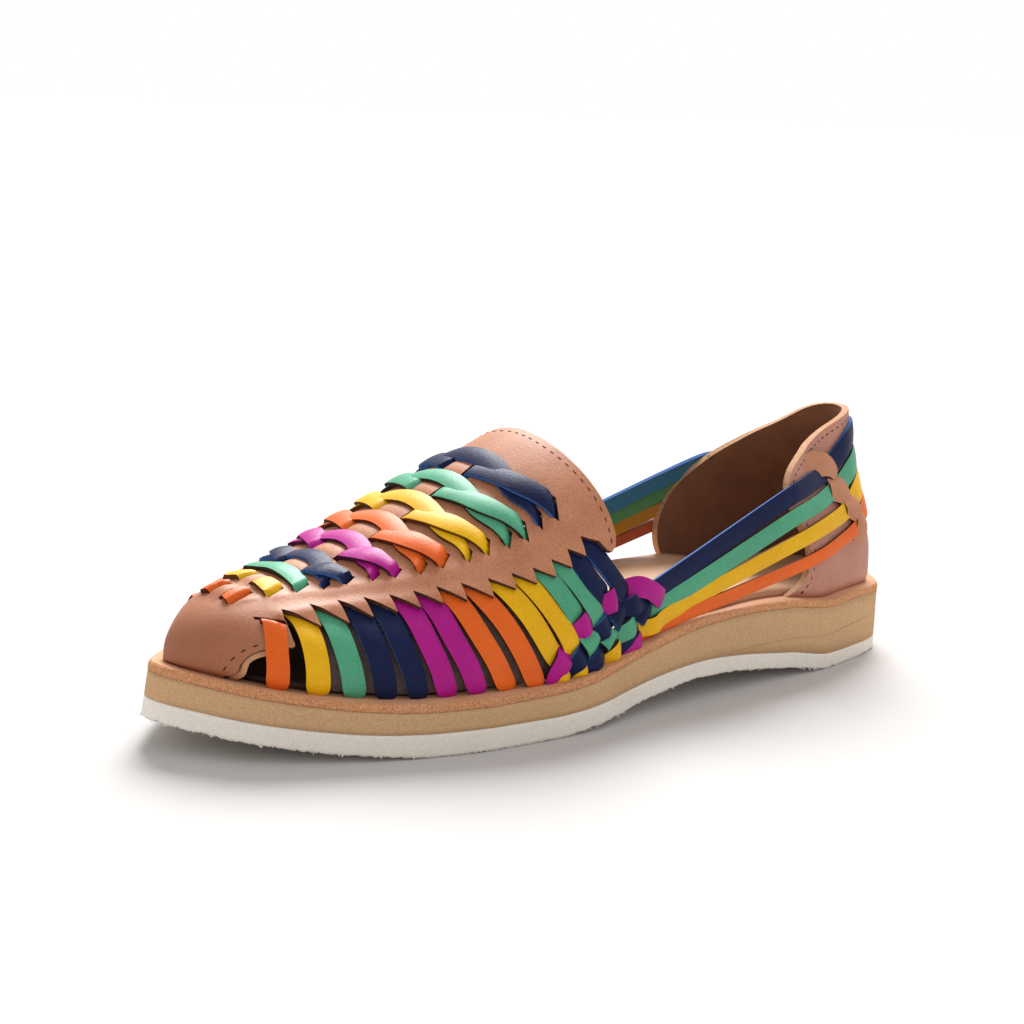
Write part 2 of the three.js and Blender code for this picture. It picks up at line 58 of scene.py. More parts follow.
def rule(rows, power=1, column=1):
    """A smooth line through rows of (place, size) that never swings past them. A power of 2
    gives a line that ends in 0 a round end."""
    places = [row[0] for row in rows]
    sizes = [row[column] ** power for row in rows]
    last = len(rows) - 1
    slopes = [(sizes[i + 1] - sizes[i]) / (places[i + 1] - places[i]) for i in range(last)]
    leans = [slopes[0]]
    for before, after in zip(slopes, slopes[1:]):
        leans.append(2 * before * after / (before + after) if before * after > 0 else 0)
    leans.append(slopes[-1])

    def size_at(place):
        place = min(max(place, places[0]), places[-1])
        i = min(bisect_right(places, place) - 1, last - 1)
        span = places[i + 1] - places[i]
        u = (place - places[i]) / span
        straight = sizes[i] * (1 + 2 * u) * (1 - u) ** 2 + sizes[i + 1] * u * u * (3 - 2 * u)
        bend = span * u * (1 - u) * (leans[i] * (1 - u) - leans[i + 1] * u)
        return max(straight + bend, 0) ** (1 / power)

    return size_at


def rules(rows, power=1):
    """A smooth line for each column of sizes, by the places in the first column."""
    return [rule(rows, power, column) for column in range(1, len(rows[0]))]


# The sole's half width on the outer and the inner side, by the share of its length.
sole_outer, sole_inner = rules([
    (0, 0, 0), (0.02, 13, 13), (0.06, 25, 24), (0.12, 31.2, 31), (0.2, 36, 32.5), (0.3, 37.5, 28),
    (0.4, 40.5, 24.5), (0.5, 44, 28), (0.6, 49.5, 38), (0.7, 49, 44.6), (0.8, 44, 43),
    (0.88, 35, 34), (0.94, 25.6, 21.6), (0.98, 13, 9.8), (1, 0, 0),
], 2)
# The height of its underside, and how thick the outsole and the midsole are.
underside, outsole_thick, midsole_thick = rules([
    (0, 0, 4, 14.2), (0.12, 0, 4.5, 15.5), (0.17, 0, 4.7, 15), (0.25, 3, 5, 14),
    (0.4, 6.5, 5, 10.4), (0.55, 2, 5.8, 7.5), (0.64, 0, 6.2, 6.3), (0.76, 0, 6.4, 5.7),
    (0.85, 1.8, 5.7, 6), (1, 8, 5.3, 6.8),
])
toe_lean = rule([(0.7, 0), (0.85, 0.08), (1, 0.16)])


def sole_half(x, side):
    """The sole's half width at x millimetres from the heel, on the outer (1) or inner (-1) side."""
    share = x / SOLE_LENGTH
    return sole_outer(share) if side >= 0 else sole_inner(share)


def sole_bottom(x):
    return underside(x / SOLE_LENGTH)


def outsole_top(x):
    return sole_bottom(x) + outsole_thick(x / SOLE_LENGTH)


def midsole_top(x):
    return outsole_top(x) + midsole_thick(x / SOLE_LENGTH)


def sole_top(x):
    return midsole_top(x) + LEATHER_THICK


sole_low, sole_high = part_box("outsole")
widest = max(sole_half(x, 1) for x in range(SOLE_LENGTH))


def in_frame(x, y, z):
    """The shoe's own millimetres (forward from the heel, out to the side, up) in the frame."""
    return Vector((sole_low.x + x * MM, sole_high.y + (y - widest) * MM, z * MM))


def mesh_from(bm, name):
    mesh = bpy.data.meshes.new(name)
    bm.to_mesh(mesh)
    bm.free()
    return mesh


def put_in_scene(name, data):
    made = bpy.data.objects.new(name, data)
    bpy.context.scene.collection.objects.link(made)
    return made


def piece_from(bm, name, materials):
    """Makes an object of a mesh in the shoe's millimetres, with soft shading."""
    for vertex in bm.verts:
        vertex.co = in_frame(*vertex.co)
    for face in bm.faces:
        face.smooth = True
    mesh = mesh_from(bm, name)
    for material in materials:
        mesh.materials.append(material)
    made = put_in_scene(name, mesh)
    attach(made, "root")
    return made


def double_sheet(stations, across, rings, top, bottom):
    """A slab between two sheets. top and bottom place a point by its share of the length (0 to 1)
    and of the half width (-1 to 1), and rings divide the wall between them."""
    bm = bmesh.new()
    bmesh.ops.create_grid(bm, x_segments=stations, y_segments=across, size=0.5)
    made = bmesh.ops.extrude_face_region(bm, geom=bm.faces[:])
    lower = {item for item in made["geom"] if isinstance(item, bmesh.types.BMVert)}
    walls = [e for e in bm.edges if (e.verts[0] in lower) != (e.verts[1] in lower)]
    for vertex in bm.verts:
        sheet = bottom if vertex in lower else top
        vertex.co = sheet(vertex.co.x + 0.5, vertex.co.y * 2)
    if rings:
        bmesh.ops.subdivide_edges(bm, edges=walls, cuts=rings, use_grid_fill=True)
    bmesh.ops.remove_doubles(bm, verts=bm.verts[:], dist=0.002)
    bmesh.ops.recalc_face_normals(bm, faces=bm.faces[:])
    return bm


def sole_sheet(height_at, above=0):
    """A level of the sole, as a function of the shares of length and half width."""

    def place(u, v):
        x = SOLE_LENGTH / 2 * (1 - cos(pi * u))
        z = height_at(x) + above
        forward = toe_lean(x / SOLE_LENGTH) * (sole_top(x) - z)
        return (x + forward, v * sole_half(x, v), z)

    return place


class Wire:
    """One value in a material's nodes. Sums and products of wires become nodes themselves."""

    def __init__(self, tree, socket):
        self.tree = tree
        self.socket = socket

    def node(self, kind, settings=None, values=None, output=0):
        made = self.tree.nodes.new(kind)
        for key, setting in (settings or {}).items():
            setattr(made, key, setting)
        for key, value in (values or {}).items():
            if isinstance(value, Wire):
                self.tree.links.new(value.socket, made.inputs[key])
            else:
                made.inputs[key].default_value = value
        return Wire(self.tree, made.outputs[output])

    def maths(self, operation, other):
        return self.node("ShaderNodeMath", {"operation": operation}, {0: self, 1: other})

    def __add__(self, other):
        return self.maths("ADD", other)

    __radd__ = __add__

    def __mul__(self, other):
        return self.maths("MULTIPLY", other)

    def between(self, low, high):
        """0 below low, 1 above high, and a soft step from one to the other."""
        settings = {"interpolation_type": "SMOOTHSTEP"}
        return self.node("ShaderNodeMapRange", settings, {0: self, 1: low, 2: high})

    def mix(self, first, second):
        """The first colour where this wire is 0, and the second where it is 1."""
        values = {0: self, 6: first, 7: second}
        return self.node("ShaderNodeMix", {"data_type": "RGBA"}, values, output=2)

    def noise(self, scale, detail=2.0, rough=0.5):
        """Soft noise, from 0 to 1, with scale waves in a metre, where this wire is a place."""
        values = {"Vector": self, "Scale": scale, "Detail": detail, "Roughness": rough}
        return self.node("ShaderNodeTexNoise", {}, values)

    def cells(self, scale):
        """The distance to the nearest of many scattered points, scale of them in a metre."""
        return self.node("ShaderNodeTexVoronoi", {}, {"Vector": self, "Scale": scale})

    def stretched(self, by):
        """A place with its three directions scaled."""
        return self.node("ShaderNodeMapping", {}, {"Vector": self, "Scale": by})


def paint(code):
    """A colour written as six hex digits, in the renderer's linear values."""
    parts = [int(code[i:i + 2], 16) / 255 for i in (0, 2, 4)]
    linear = [c / 12.92 if c <= 0.04045 else ((c + 0.055) / 1.055) ** 2.4 for c in parts]
    return (*linear, 1.0)


def blank_material(name, constants=None):
    """A new material: itself, its surface node and a wire with the object's coordinates."""
    material = bpy.data.materials.new(name)
    material.use_nodes = True
    tree = material.node_tree
    surface = tree.nodes["Principled BSDF"]
    for key, value in (constants or {}).items():
        surface.inputs[key].default_value = value
    place = tree.nodes.new("ShaderNodeTexCoord").outputs["Object"]
    return material, surface, Wire(tree, place)


def finish_surface(surface, place, colour, roughness, height, bump, depth):
    """Feeds the surface node: colour and roughness, and a relief of that depth in metres."""
    tree = place.tree
    values = {"Strength": bump, "Distance": depth, "Height": height}
    relief = place.node("ShaderNodeBump", {}, values)
    tree.links.new(colour.socket, surface.inputs["Base Color"])
    tree.links.new(roughness.socket, surface.inputs["Roughness"])
    tree.links.new(relief.socket, surface.inputs["Normal"])


def crumbly(name, light, dark, grain, bump, rough=0.85, streaks=0.0):
    """Rubber, cork or raw leather: specks of two colours with a granular relief."""
    material, surface, place = blank_material(name, {"Specular IOR Level": 0.25})
    specks = place.noise(grain, 3, 0.65)
    clouds = place.noise(45, 3)
    fine = place.noise(grain * 2.3, 2, 0.6)
    lines = place.stretched((1, 1, 9)).noise(420, 2)
    tone = specks.between(0.3, 0.7) * 0.6 + clouds * 0.3 + lines * streaks
    colour = tone.mix(paint(dark), paint(light))
    height = specks * 0.6 + fine * 0.4 + lines * streaks
    finish_surface(surface, place, colour, rough + specks * 0.12, height, bump, 0.0006)
    return material


TORN_HIGH = 1.2
CRUMBS = 190
outsole_rubber = crumbly("outsole_rubber", "F6EEE4", "E2D9CC", 1500, 0.3, streaks=0.2)


def outward(x, y):
    """The way from the middle of the sole, in plan."""
    return Vector((x - SOLE_LENGTH / 2, y * 2.6, 0)).normalized()


def ripple(x, y, z):
    """Smooth noise between -1 and 1, as uneven as hand work."""
    return noise.noise(Vector((x, y, z)))


def torn(x, y, z):
    """How much a wall point moves up and outward near the torn lower edge, in millimetres."""
    near = max(0, 1 - (z - sole_bottom(x)) / TORN_HIGH)
    wave = ripple(x * 0.4, y * 0.4, 3)
    bite = ripple(x * 1.9, y * 1.9, 9)
    up = max(0, 0.15 + 0.4 * wave + 0.55 * bite) * near
    out = 0.22 * ripple(x * 1.4, y * 1.4, 40 + z) * (0.2 + near)
    return up, out


bm = double_sheet(560, 6, 6, sole_sheet(outsole_top), sole_sheet(sole_bottom))
for vertex in bm.verts:
    x, y, z = vertex.co
    half = sole_half(min(x, SOLE_LENGTH - 1), y)
    by_the_wall = abs(y) > half * 0.9 or x < 4 or x > SOLE_LENGTH - 6
    if by_the_wall and z < outsole_top(min(x, SOLE_LENGTH)) - 0.4:
        up, out = torn(x, y, z)
        vertex.co += outward(x, y) * out
        vertex.co.z += up
outsole = piece_from(bm, "outsole_sheet", [outsole_rubber])
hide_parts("outsole")

random.seed(7)
bm = bmesh.new()
for _ in range(CRUMBS):
    side = random.choice((-1, 1))
    u = random.uniform(0.02, 0.985)
    x, y, z = sole_sheet(sole_bottom)(u, side)
    size = random.uniform(0.1, 0.3)
    turn = Matrix.Rotation(random.uniform(0, 6.3), 4, Vector((random.random(), random.random(), 1)))
    shape = Matrix.Diagonal((size * 1.7, size, size * 0.7, 1))
    centre = Vector((x, y + side * 0.1, max(z + random.uniform(-0.2, 0.5), size * 1.75)))
    bmesh.ops.create_icosphere(
        bm, subdivisions=1, radius=1, matrix=Matrix.Translation(centre) @ turn @ shape
    )
piece_from(bm, "outsole_crumbs", [outsole_rubber])

# ---- midsole ----
# A wedge of fine-grained tan cork rubber, thick under the heel, sanded flush with the outsole.
# Two layers are glued in the heel, and their joint shows as a faint line.

# Glued layers stay a hair apart, and the upper stands a little above the leather layer.
GLUE_GAP = 0.09
UPPER_GAP = 0.3
JOINT_LONG = 96
JOINT_PROUD = 0.06
cork = crumbly("midsole_cork", "DBB58C", "BC9468", 1900, 0.35)

bm = double_sheet(260, 6, 3, sole_sheet(midsole_top), sole_sheet(outsole_top, GLUE_GAP))
for vertex in bm.verts:
    x, y, z = vertex.co
    vertex.co.y += 0.14 * ripple(x * 0.12, y * 0.12, z * 0.4)
midsole = piece_from(bm, "midsole_wedge", [cork])
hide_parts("midsole")

heel_line_ink = crumbly("midsole_joint", "C09A70", "A9835C", 1900, 0.2)


def heel_line(height):
    """The joint in the heel: it starts past the wedge's middle and runs down to its front."""

    def place(u, v):
        x = JOINT_LONG * (1 - cos(pi * u / 2))
        z = outsole_top(x) + midsole_thick(x / SOLE_LENGTH) * (0.56 - 0.5 * u ** 3)
        return (x - JOINT_PROUD * (1 - u), v * (sole_half(x, v) + JOINT_PROUD), z + height)

    return place


bm = double_sheet(110, 1, 0, heel_line(JOINT_PROUD), heel_line(-JOINT_PROUD))
piece_from(bm, "midsole_joint_line", [heel_line_ink])

# ---- leather layer ----
# A thick sheet of raw vegetable-tanned leather between the wedge and the upper. Its cut edge is
# rough and fibrous, and its smooth top shows as a narrow ledge all round the upper.


def leather(name, light, dark, rough=0.45, bump=0.22, burnish_and_shade=None, shine=0.22):
    """Finished leather: clouds of two tones, a fine grain with pores, and a satin surface.
    burnish_and_shade is a darker tone laid along the shoe: a burnish on the vamp's toe cap, and
    painted shade in the front of the footbed. It gives the colour, where along the shoe it starts
    and is full, and its strength."""
    material, surface, place = blank_material(name, {"Specular IOR Level": shine})
    clouds = place.noise(70, 4, 0.55)
    fine = place.noise(1500, 3, 0.6)
    pores = place.cells(1050)
    tone = clouds.between(0.3, 0.7) * 0.45 + fine.between(0.3, 0.7) * 0.55
    colour = tone.mix(paint(dark), paint(light))
    if burnish_and_shade:
        darker, start, full, strength = burnish_and_shade
        # The darker tone along the shoe: a real burnish on the vamp, painted shade on the footbed.
        along = place.node("ShaderNodeSeparateXYZ", {}, {0: place})
        colour = (along.between(start, full) * (strength + clouds * 0.4)).mix(colour, paint(darker))
    height = fine * 0.55 + pores * 0.5 + clouds * 0.06
    finish_surface(surface, place, colour, rough + fine * 0.16, height, bump, 0.0004)
    return material


ledge_leather = leather("ledge_leather", "DDA680", "C08864", rough=0.55, shine=0.15)
raw_edge = crumbly("leather_edge_raw", "EEB484", "A8623A", 1900, 0.8, streaks=0.15)


def clamped(share):
    return min(1, max(0, share))


bm = double_sheet(420, 8, 3, sole_sheet(sole_top), sole_sheet(midsole_top, GLUE_GAP))
for vertex in bm.verts:
    x, y, z = vertex.co
    if abs(y) > sole_half(min(x, SOLE_LENGTH - 1), y) * 0.97 or x < 2 or x > SOLE_LENGTH - 2:
        height = (z - midsole_top(min(x, SOLE_LENGTH))) / LEATHER_THICK
        round_over = -0.5 * max(0, height - 0.7) / 0.3
        belly = 0.12 * sin(pi * clamped(height))
        rough = 0.16 * ripple(x * 0.9, y * 0.9, z * 1.5)
        vertex.co += outward(x, y) * (round_over + belly + rough)
bm.normal_update()
for face in bm.faces:
    face.material_index = 1 if face.normal.z > 0.85 else 0
leather_layer = piece_from(bm, "leather_layer", [raw_edge, ledge_leather])
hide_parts("leather_midsole")

# ---- insole ----
# A footbed of smooth light leather glued on the leather layer, inside the upper and the cup.
# Small notches are nipped into its edge so that it lies flat in the waist.

INSOLE_REAR = 8
INSOLE_FRONT = 252
INSOLE_THICK = 1.8
insole_share = rule([(0, 0.83), (0.25, 0.84), (0.36, 0.9), (0.46, 0.84), (0.75, 0.845), (1, 0.84)])


def suede(name, light, dark):
    """The flesh side of leather: dull, with a short nap brushed in two tones."""
    constants = {"Specular IOR Level": 0.1, "Sheen Weight": 0.15, "Sheen Roughness": 0.6}
    material, surface, place = blank_material(name, constants)
    brushed = place.noise(110, 4, 0.6)
    nap = place.noise(1700, 3, 0.7)
    colour = (brushed.between(0.3, 0.7) * 0.6 + nap * 0.4).mix(paint(dark), paint(light))
    finish_surface(surface, place, colour, 0.88 + nap * 0.1, nap, 0.5, 0.0004)
    return material


# Toward the toe the footbed fades to near black (33211A): painted shade inside the closed toe, under
# the vamp.
footbed_leather = leather(
    "footbed_leather", "CFA482", "B98A68", rough=0.5, bump=0.2, burnish_and_shade=("33211A", 0, 0.07, 0.75),
)


def insole_sheet(height):
    def place(u, v):
        share = (1 - cos(pi * u)) / 2
        x = INSOLE_REAR + (INSOLE_FRONT - INSOLE_REAR) * share
        nick = 0.45 * max(0, ripple(x * 0.45, v * 3, 5)) if abs(v) > 0.99 else 0
        half = sole_half(share * SOLE_LENGTH, v) * insole_share(share) - nick
        return (x, v * max(half, 0), sole_top(x) + height)

    return place


bm = double_sheet(240, 8, 1, insole_sheet(INSOLE_THICK), insole_sheet(0.05))
insole = piece_from(bm, "footbed", [footbed_leather])
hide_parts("insole")

# ---- vamp ----
# One piece of tan leather is the toe cap, a spine along the ridge, a toothed band down each side
# and the rounded throat. It is cut flat, with slots for the strips, wetted and pulled over the
# last. Its flesh side is suede, and its cut edges are dyed brown.

UPPER_TIP = 258
RIDGE_Y = -2
STRETCH_FROM = 130
VAMP_THICK = 1.6
# The last: its ridge above the sole by x; its half width as a share of the sole's and how square
# its section is, each on the outer and the inner side.
last_ridge = rule([
    (100, 65), (143, 58.4), (165, 50.2), (185, 41), (207, 31.5), (218, 27.5), (239, 20.3),
    (251, 13), (258, 0),
], 2)
last_outer, last_inner = rules([
    (100, 0.97, 0.96), (143, 0.97, 0.95), (165, 0.97, 0.94), (185, 0.93, 0.92), (207, 0.92, 0.92),
    (218, 0.92, 0.94), (239, 0.95, 0.98), (250, 0.95, 0.99), (258, 0.95, 0.99),
])
outer_square, inner_square = rules([
    (100, 2.2, 2.8), (143, 2.15, 2.7), (165, 2.15, 2.55), (185, 2.2, 2.45), (207, 2.2, 2.5),
    (218, 2.25, 2.5), (239, 2.3, 2.4), (258, 2.3, 2.3),
])


@lru_cache(maxsize=None)
def last_section(x, side):
    """The last's section at x: half width from the ridge, ridge height, squareness and base."""
    stretch = (SOLE_LENGTH - STRETCH_FROM) / (UPPER_TIP - STRETCH_FROM)
    sole_x = STRETCH_FROM + (x - STRETCH_FROM) * stretch if x > STRETCH_FROM else x
    share = last_outer(x) if side > 0 else last_inner(x)
    square = outer_square(x) if side > 0 else inner_square(x)
    half = sole_half(sole_x, side) * share - side * RIDGE_Y
    return max(half, 0.001), max(last_ridge(x), 0.001), square, sole_top(x) + UPPER_GAP


def on_last(x, around):
    """A place on the last: x, and around from -1 at the inner edge of the sole over the ridge at
    0 to 1 at the outer edge. Past 1 it goes straight down into the sole."""
    side = 1 if around >= 0 else -1
    half, ridge, square, base = last_section(round(x, 4), side)
    angle = max(-1, min(1, around)) * pi / 2
    across = abs(sin(angle)) / half
    upward = abs(cos(angle)) / ridge
    reach = (across ** square + upward ** square) ** (-1 / square)
    down = max(0, abs(around) - 1) * 40
    return Vector((x, RIDGE_Y + reach * sin(angle), base + reach * cos(angle) - down))


def last_normal(x, around):
    """The direction square to the last, outward."""
    step, turn = 0.4, 0.004
    x = min(x, UPPER_TIP - step)
    side = max(-1 + turn, min(1 - turn, around))
    along = on_last(x + step / 2, side) - on_last(x - step / 2, side)
    over = on_last(x, side + turn) - on_last(x, side - turn)
    normal = along.cross(over).normalized()
    if abs(around) >= 1:
        normal = Vector((normal.x, normal.y, 0)).normalized()
    return normal


def inner_around(x, around):
    """The inner side is lower at the waist, so its slots and straps sit nearer the ridge there."""
    fade = 1 - clamped((x - 140) / 45)
    return around - 0.15 * fade * sin(pi * min(around, 1) ** 1.8)


def lifted(x, around, lift):
    """A place lifted off the last and the direction there. Below 0, around is the mirror of one
    on the outer side."""
    if around < 0:
        around = -inner_around(x, -around)
    normal = last_normal(x, around)
    return on_last(x, around) + normal * lift, normal


# The vamp's throat edge, from the middle to the corner on the side: x and around.
THROAT = [
    (143.5, 0), (143.6, 0.08), (143.4, 0.17), (142.4, 0.26), (140.8, 0.35), (139.3, 0.43),
    (138.5, 0.5), (138.8, 0.56), (140, 0.597), (141.8, 0.612), (143.6, 0.6),
]
# The side band's teeth from the toe: each notch's x and around, and around of the tooth's tip
# behind it. The tip stands over the next notch's x.
TEETH = [
    (233.6, 0.485, 0.645), (226.3, 0.483, 0.648), (219.2, 0.495, 0.638), (212.8, 0.516, 0.636),
    (206.5, 0.538, 0.638), (200.5, 0.551, 0.643), (194.6, 0.562, 0.652), (188.3, 0.576, 0.662),
    (181, 0.585, 0.65), (174.3, 0.588, 0.647), (168, 0.587, 0.64), (161.9, 0.575, 0.625),
    (156.4, 0.558, 0.602), (151.2, 0.532, 0.566),
]
BAND_END_X = 145.8
# The arched hole on each side of the toe cap, from behind the first strip down to the sole.
TOE_ARCH = [
    (234.8, 0.7), (235, 0.752), (238.2, 0.752), (241.8, 0.76), (244.8, 0.79), (247, 0.858),
    (248, 0.935), (250.6, 1.0), (250.8, 1.045),
]
# Each strip from the toe: colour, whether it goes over the spine, its x on the spine; where it
# crosses its neighbour, its slot's middle and where it comes out of the teeth, each x and around;
# and its x at three quarters round and at the sole.
STRIPS = [
    ("orange", False, 239.6, (239.5, 0.16), (238.9, 0.245), (237.3, 0.57), 239.2, 240.2),
    ("yellow", False, 231, (230.6, 0.16), (231, 0.307), (229.9, 0.58), 230.4, 230.8),
    ("mint", True, 222.9, (223.1, 0.17), (224.2, 0.335), (223, 0.59), 223, 221.8),
    ("navy", True, 212.8, (216.2, 0.24), (218.8, 0.381), (215.8, 0.6), 215.5, 214),
    ("navy", False, 218, (215.4, 0.25), (212.2, 0.385), (209.4, 0.61), 208.6, 205.5),
    ("magenta", True, 201.4, (204.7, 0.28), (206.3, 0.422), (203.1, 0.62), 201.8, 197.5),
    ("magenta", False, 207.2, (203.6, 0.28), (200.8, 0.442), (196.9, 0.63), 195, 188.8),
    ("orange", True, 191, (194.2, 0.31), (194.8, 0.469), (190.8, 0.635), 187.8, 180),
    ("orange", False, 196.3, (192.6, 0.31), (188.5, 0.467), (184, 0.635), 179.2, 171.2),
    ("yellow", True, 180.5, (183.4, 0.32), (182.3, 0.484), (176.5, 0.64), 171.8, 162.5),
    ("yellow", False, 186, (181.6, 0.31), (176.5, 0.47), (170.1, 0.63), 164.6, 156.5),
    ("mint", True, 169.9, (172.6, 0.31), (170.4, 0.471), (164.1, 0.62), 159, 149),
    ("mint", False, 175.4, (171, 0.3), (165, 0.457), (158.4, 0.61), 152.2, 141),
    ("navy", True, 158.8, (161.6, 0.29), (159.8, 0.44), (153.4, 0.595), 146, 131),
    ("navy", False, 164.4, (159.6, 0.28), (154.2, 0.419), (148.3, 0.56), 137, 124),
]
# Slots where strips come out onto the top: both ends' x and around, toe end last.
TOP_SLOTS = [
    (235.3, 0.211, 242.5, 0.281), (228, 0.268, 233.9, 0.345), (221.7, 0.305, 226.8, 0.366),
    (217.3, 0.362, 220.4, 0.4), (210.4, 0.362, 214.1, 0.407), (204.7, 0.404, 207.9, 0.439),
    (199.3, 0.422, 202.4, 0.463), (193.1, 0.446, 196.5, 0.492), (186.6, 0.438, 190.5, 0.496),
    (181, 0.46, 183.5, 0.508), (175.2, 0.436, 177.8, 0.504), (168.9, 0.44, 171.9, 0.502),
    (164, 0.415, 166, 0.498), (158.7, 0.408, 160.9, 0.472), (152.9, 0.375, 155.5, 0.462),
]
# Slots where a strip goes under the spine: both ends' x and around, heel end first.
SPINE_SLOTS = [
    (236.3, 0.045, 243.3, 0.09), (228, 0.045, 234, 0.06), (215.5, 0.108, 220.6, 0.12),
    (204.3, 0.101, 210, 0.119), (194, 0.1, 198.9, 0.104), (183.7, 0.088, 188.4, 0.094),
    (173.2, 0.058, 177.6, 0.063), (162, 0.046, 166.9, 0.057),
]
# The slot where the first strip comes out of the side band.
BAND_SLOT = (234.4, 0.588, 240.8, 0.497)
SPINE_RISE = 1.0
SLOT_DEEP = 0.036
SPINE_SLOT_DEEP = 0.045
# Millimetres for each 1 of around, where leather lies flat.
FLAT = 60


def smooth_path(rows, spacing):
    """Rows of numbers joined by a smooth line that goes through each of them."""
    points = [Vector(row) for row in rows]
    made = []
    for i in range(len(points) - 1):
        a, b, c, d = (points[min(max(i + k, 0), len(points) - 1)] for k in (-1, 0, 1, 2))
        span = sqrt((c - b).length)
        before = sqrt((b - a).length) or span
        after = sqrt((d - c).length) or span
        leave = (c - b) + span * ((b - a) / before - (c - a) / (before + span))
        arrive = (c - b) + span * ((d - c) / after - (d - b) / (span + after))
        steps = max(2, round((c - b).length / spacing))
        for j in range(steps):
            t = j / steps
            bend = leave * t * (1 - t) ** 2 - arrive * t * t * (1 - t)
            made.append(b + (c - b) * t * t * (3 - 2 * t) + bend)
    made.append(points[-1])
    return made


def flattened(rows):
    return [(row[0], row[1] * FLAT, *row[2:]) for row in rows]


def rounded_path(rows, spacing):
    """A smooth line through rows of (x, around, ...), as more rows of the same kind."""
    return [(p[0], p[1] / FLAT, *p[2:]) for p in smooth_path(flattened(rows), spacing)]


def cut_flat(outline, holes, x_lines, y_lines):
    """Leather cut flat: its outline and holes are filled, then scored so finely that it bends."""
    bm = bmesh.new()
    for loop in [outline, *holes]:
        corners = [bm.verts.new((x, y, 0)) for x, y in loop]
        for first, second in zip(corners, corners[1:] + corners[:1]):
            bm.edges.new((first, second))
    bmesh.ops.triangle_fill(bm, edges=bm.edges[:], use_beauty=True)
    for direction, lines in ((Vector((1, 0, 0)), x_lines), (Vector((0, 1, 0)), y_lines)):
        for line in lines:
            whole = bm.verts[:] + bm.edges[:] + bm.faces[:]
            place = direction * line
            bmesh.ops.bisect_plane(bm, geom=whole, plane_co=place, plane_no=direction, dist=0.01)
    return bm


def bend_leather(bm, outside, inside):
    """Gives flat leather its thickness: outside and inside place each flat point's two faces.
    The faces get material 0 outside, 1 on the cut edges and 2 inside."""
    made = bmesh.ops.extrude_face_region(bm, geom=bm.faces[:])
    back = {item for item in made["geom"] if isinstance(item, bmesh.types.BMVert)}
    for face in bm.faces:
        behind = sum(1 for vertex in face.verts if vertex in back)
        face.material_index = 0 if behind == 0 else 2 if behind == len(face.verts) else 1
    for vertex in bm.verts:
        vertex.co = (inside if vertex in back else outside)(vertex.co.x, vertex.co.y)
    bmesh.ops.remove_doubles(bm, verts=bm.verts[:], dist=0.004)
    bmesh.ops.recalc_face_normals(bm, faces=bm.faces[:])
    for edge in bm.edges:
        kinds = {face.material_index for face in edge.link_faces}
        edge.smooth = len(kinds) < 2
    return bm


def vamp_relief(x, around):
    """How far the leather stands off the last: pushed up by what passes under it."""
    lift = 0.12 * clamped((UPPER_TIP - 2 - x) / 10) * ripple(x / 14, around * 4, 2)
    for low, _, high, _ in SPINE_SLOTS:
        middle = (low + high) / 2
        lift += SPINE_RISE * exp(-((x - middle) / 3.3) ** 4 - (around / 0.13) ** 4)
    for low, low_around, high, high_around in TOP_SLOTS:
        reach = ((x - (low + high) / 2) / 3) ** 2
        reach += ((around - (low_around + high_around) / 2 - 0.045) / 0.035) ** 2
        lift += 0.4 * exp(-reach)
    if x < 236:
        lift += 0.6 * exp(-((around - teeth_line(x) - 0.05) / 0.05) ** 2)
    return lift - 0.9 * max(0, (around - 0.93) / 0.07) ** 2


teeth_line = rule(sorted((x, around) for x, around, _ in TEETH))

outline = list(THROAT)
behind = BAND_END_X
for x, around, tip in reversed(TEETH):
    outline.append((behind if behind == BAND_END_X else behind + 0.25, tip))
    for forward, down in ((0.42, 0.36), (0.75, 0.72), (1, 1)):
        outline.append((behind + (x - behind) * forward, tip - (tip - around) * down))
    behind = x
outline.append((234.4, 0.56))
outline += [*rounded_path(TOE_ARCH, 1), (UPPER_TIP, 1.045), (UPPER_TIP, 0)]


def slit(ends, slant, deep):
    """A slot's corners: its lip from end to end, and the same line moved by slant and deep."""
    low, low_around, high, high_around = ends
    return [
        (low, low_around), (high, high_around),
        (high + slant, high_around + deep), (low + slant, low_around + deep),
    ]


holes = [[BAND_SLOT[2:], BAND_SLOT[:2], (234.7, 0.612), (240.9, 0.528)]]
for ends, (_, _, _, mid, slot, *_) in zip(TOP_SLOTS, STRIPS):
    holes.append(slit(ends, SLOT_DEEP * (mid[0] - slot[0]) / (slot[1] - mid[1]), -SLOT_DEEP))
holes += [slit(ends, 0, SPINE_SLOT_DEEP) for ends in SPINE_SLOTS]

X_LINES = [139 + 1.6 * i for i in range(62)] + [
    238.6, 240, 241.4, 242.8, 244.2, 245.6, 247, 248.3, 249.5, 250.6, 251.6, 252.5, 253.3, 254,
    254.7, 255.4, 256, 256.5, 257, 257.4, 257.7, 257.9,
]
Y_LINES = [i * 0.022 * FLAT for i in range(1, 46)] + [FLAT, 1.02 * FLAT]
THROAT_SKEW = 4.5
SKEW_FROM = 152


def on_vamp(x, around, above=0.0):
    """A place on the vamp's outside, or above it, and the direction there. The throat is cut a
    little farther forward on the inner side."""
    lift = vamp_relief(x, abs(around)) + above
    if around < 0 and x < SKEW_FROM:
        x += THROAT_SKEW * (SKEW_FROM - x) / 14 * min(1, -around / 0.25)
    return lifted(x, around, lift)


def vamp_face(depth):
    return lambda x, y: on_vamp(x, y / FLAT, -depth)[0]


vamp_leather = leather(
    "vamp_leather", "C48460", "A66644", rough=0.42, bump=0.14,
    burnish_and_shade=("8A4F30", 0.09, 0.125, 0.4), shine=0.34,
)
brown_edge = crumbly("edge_brown", "6E432E", "3E2418", 1400, 0.6)
tan_suede = suede("vamp_suede", "7A523A", "573524")

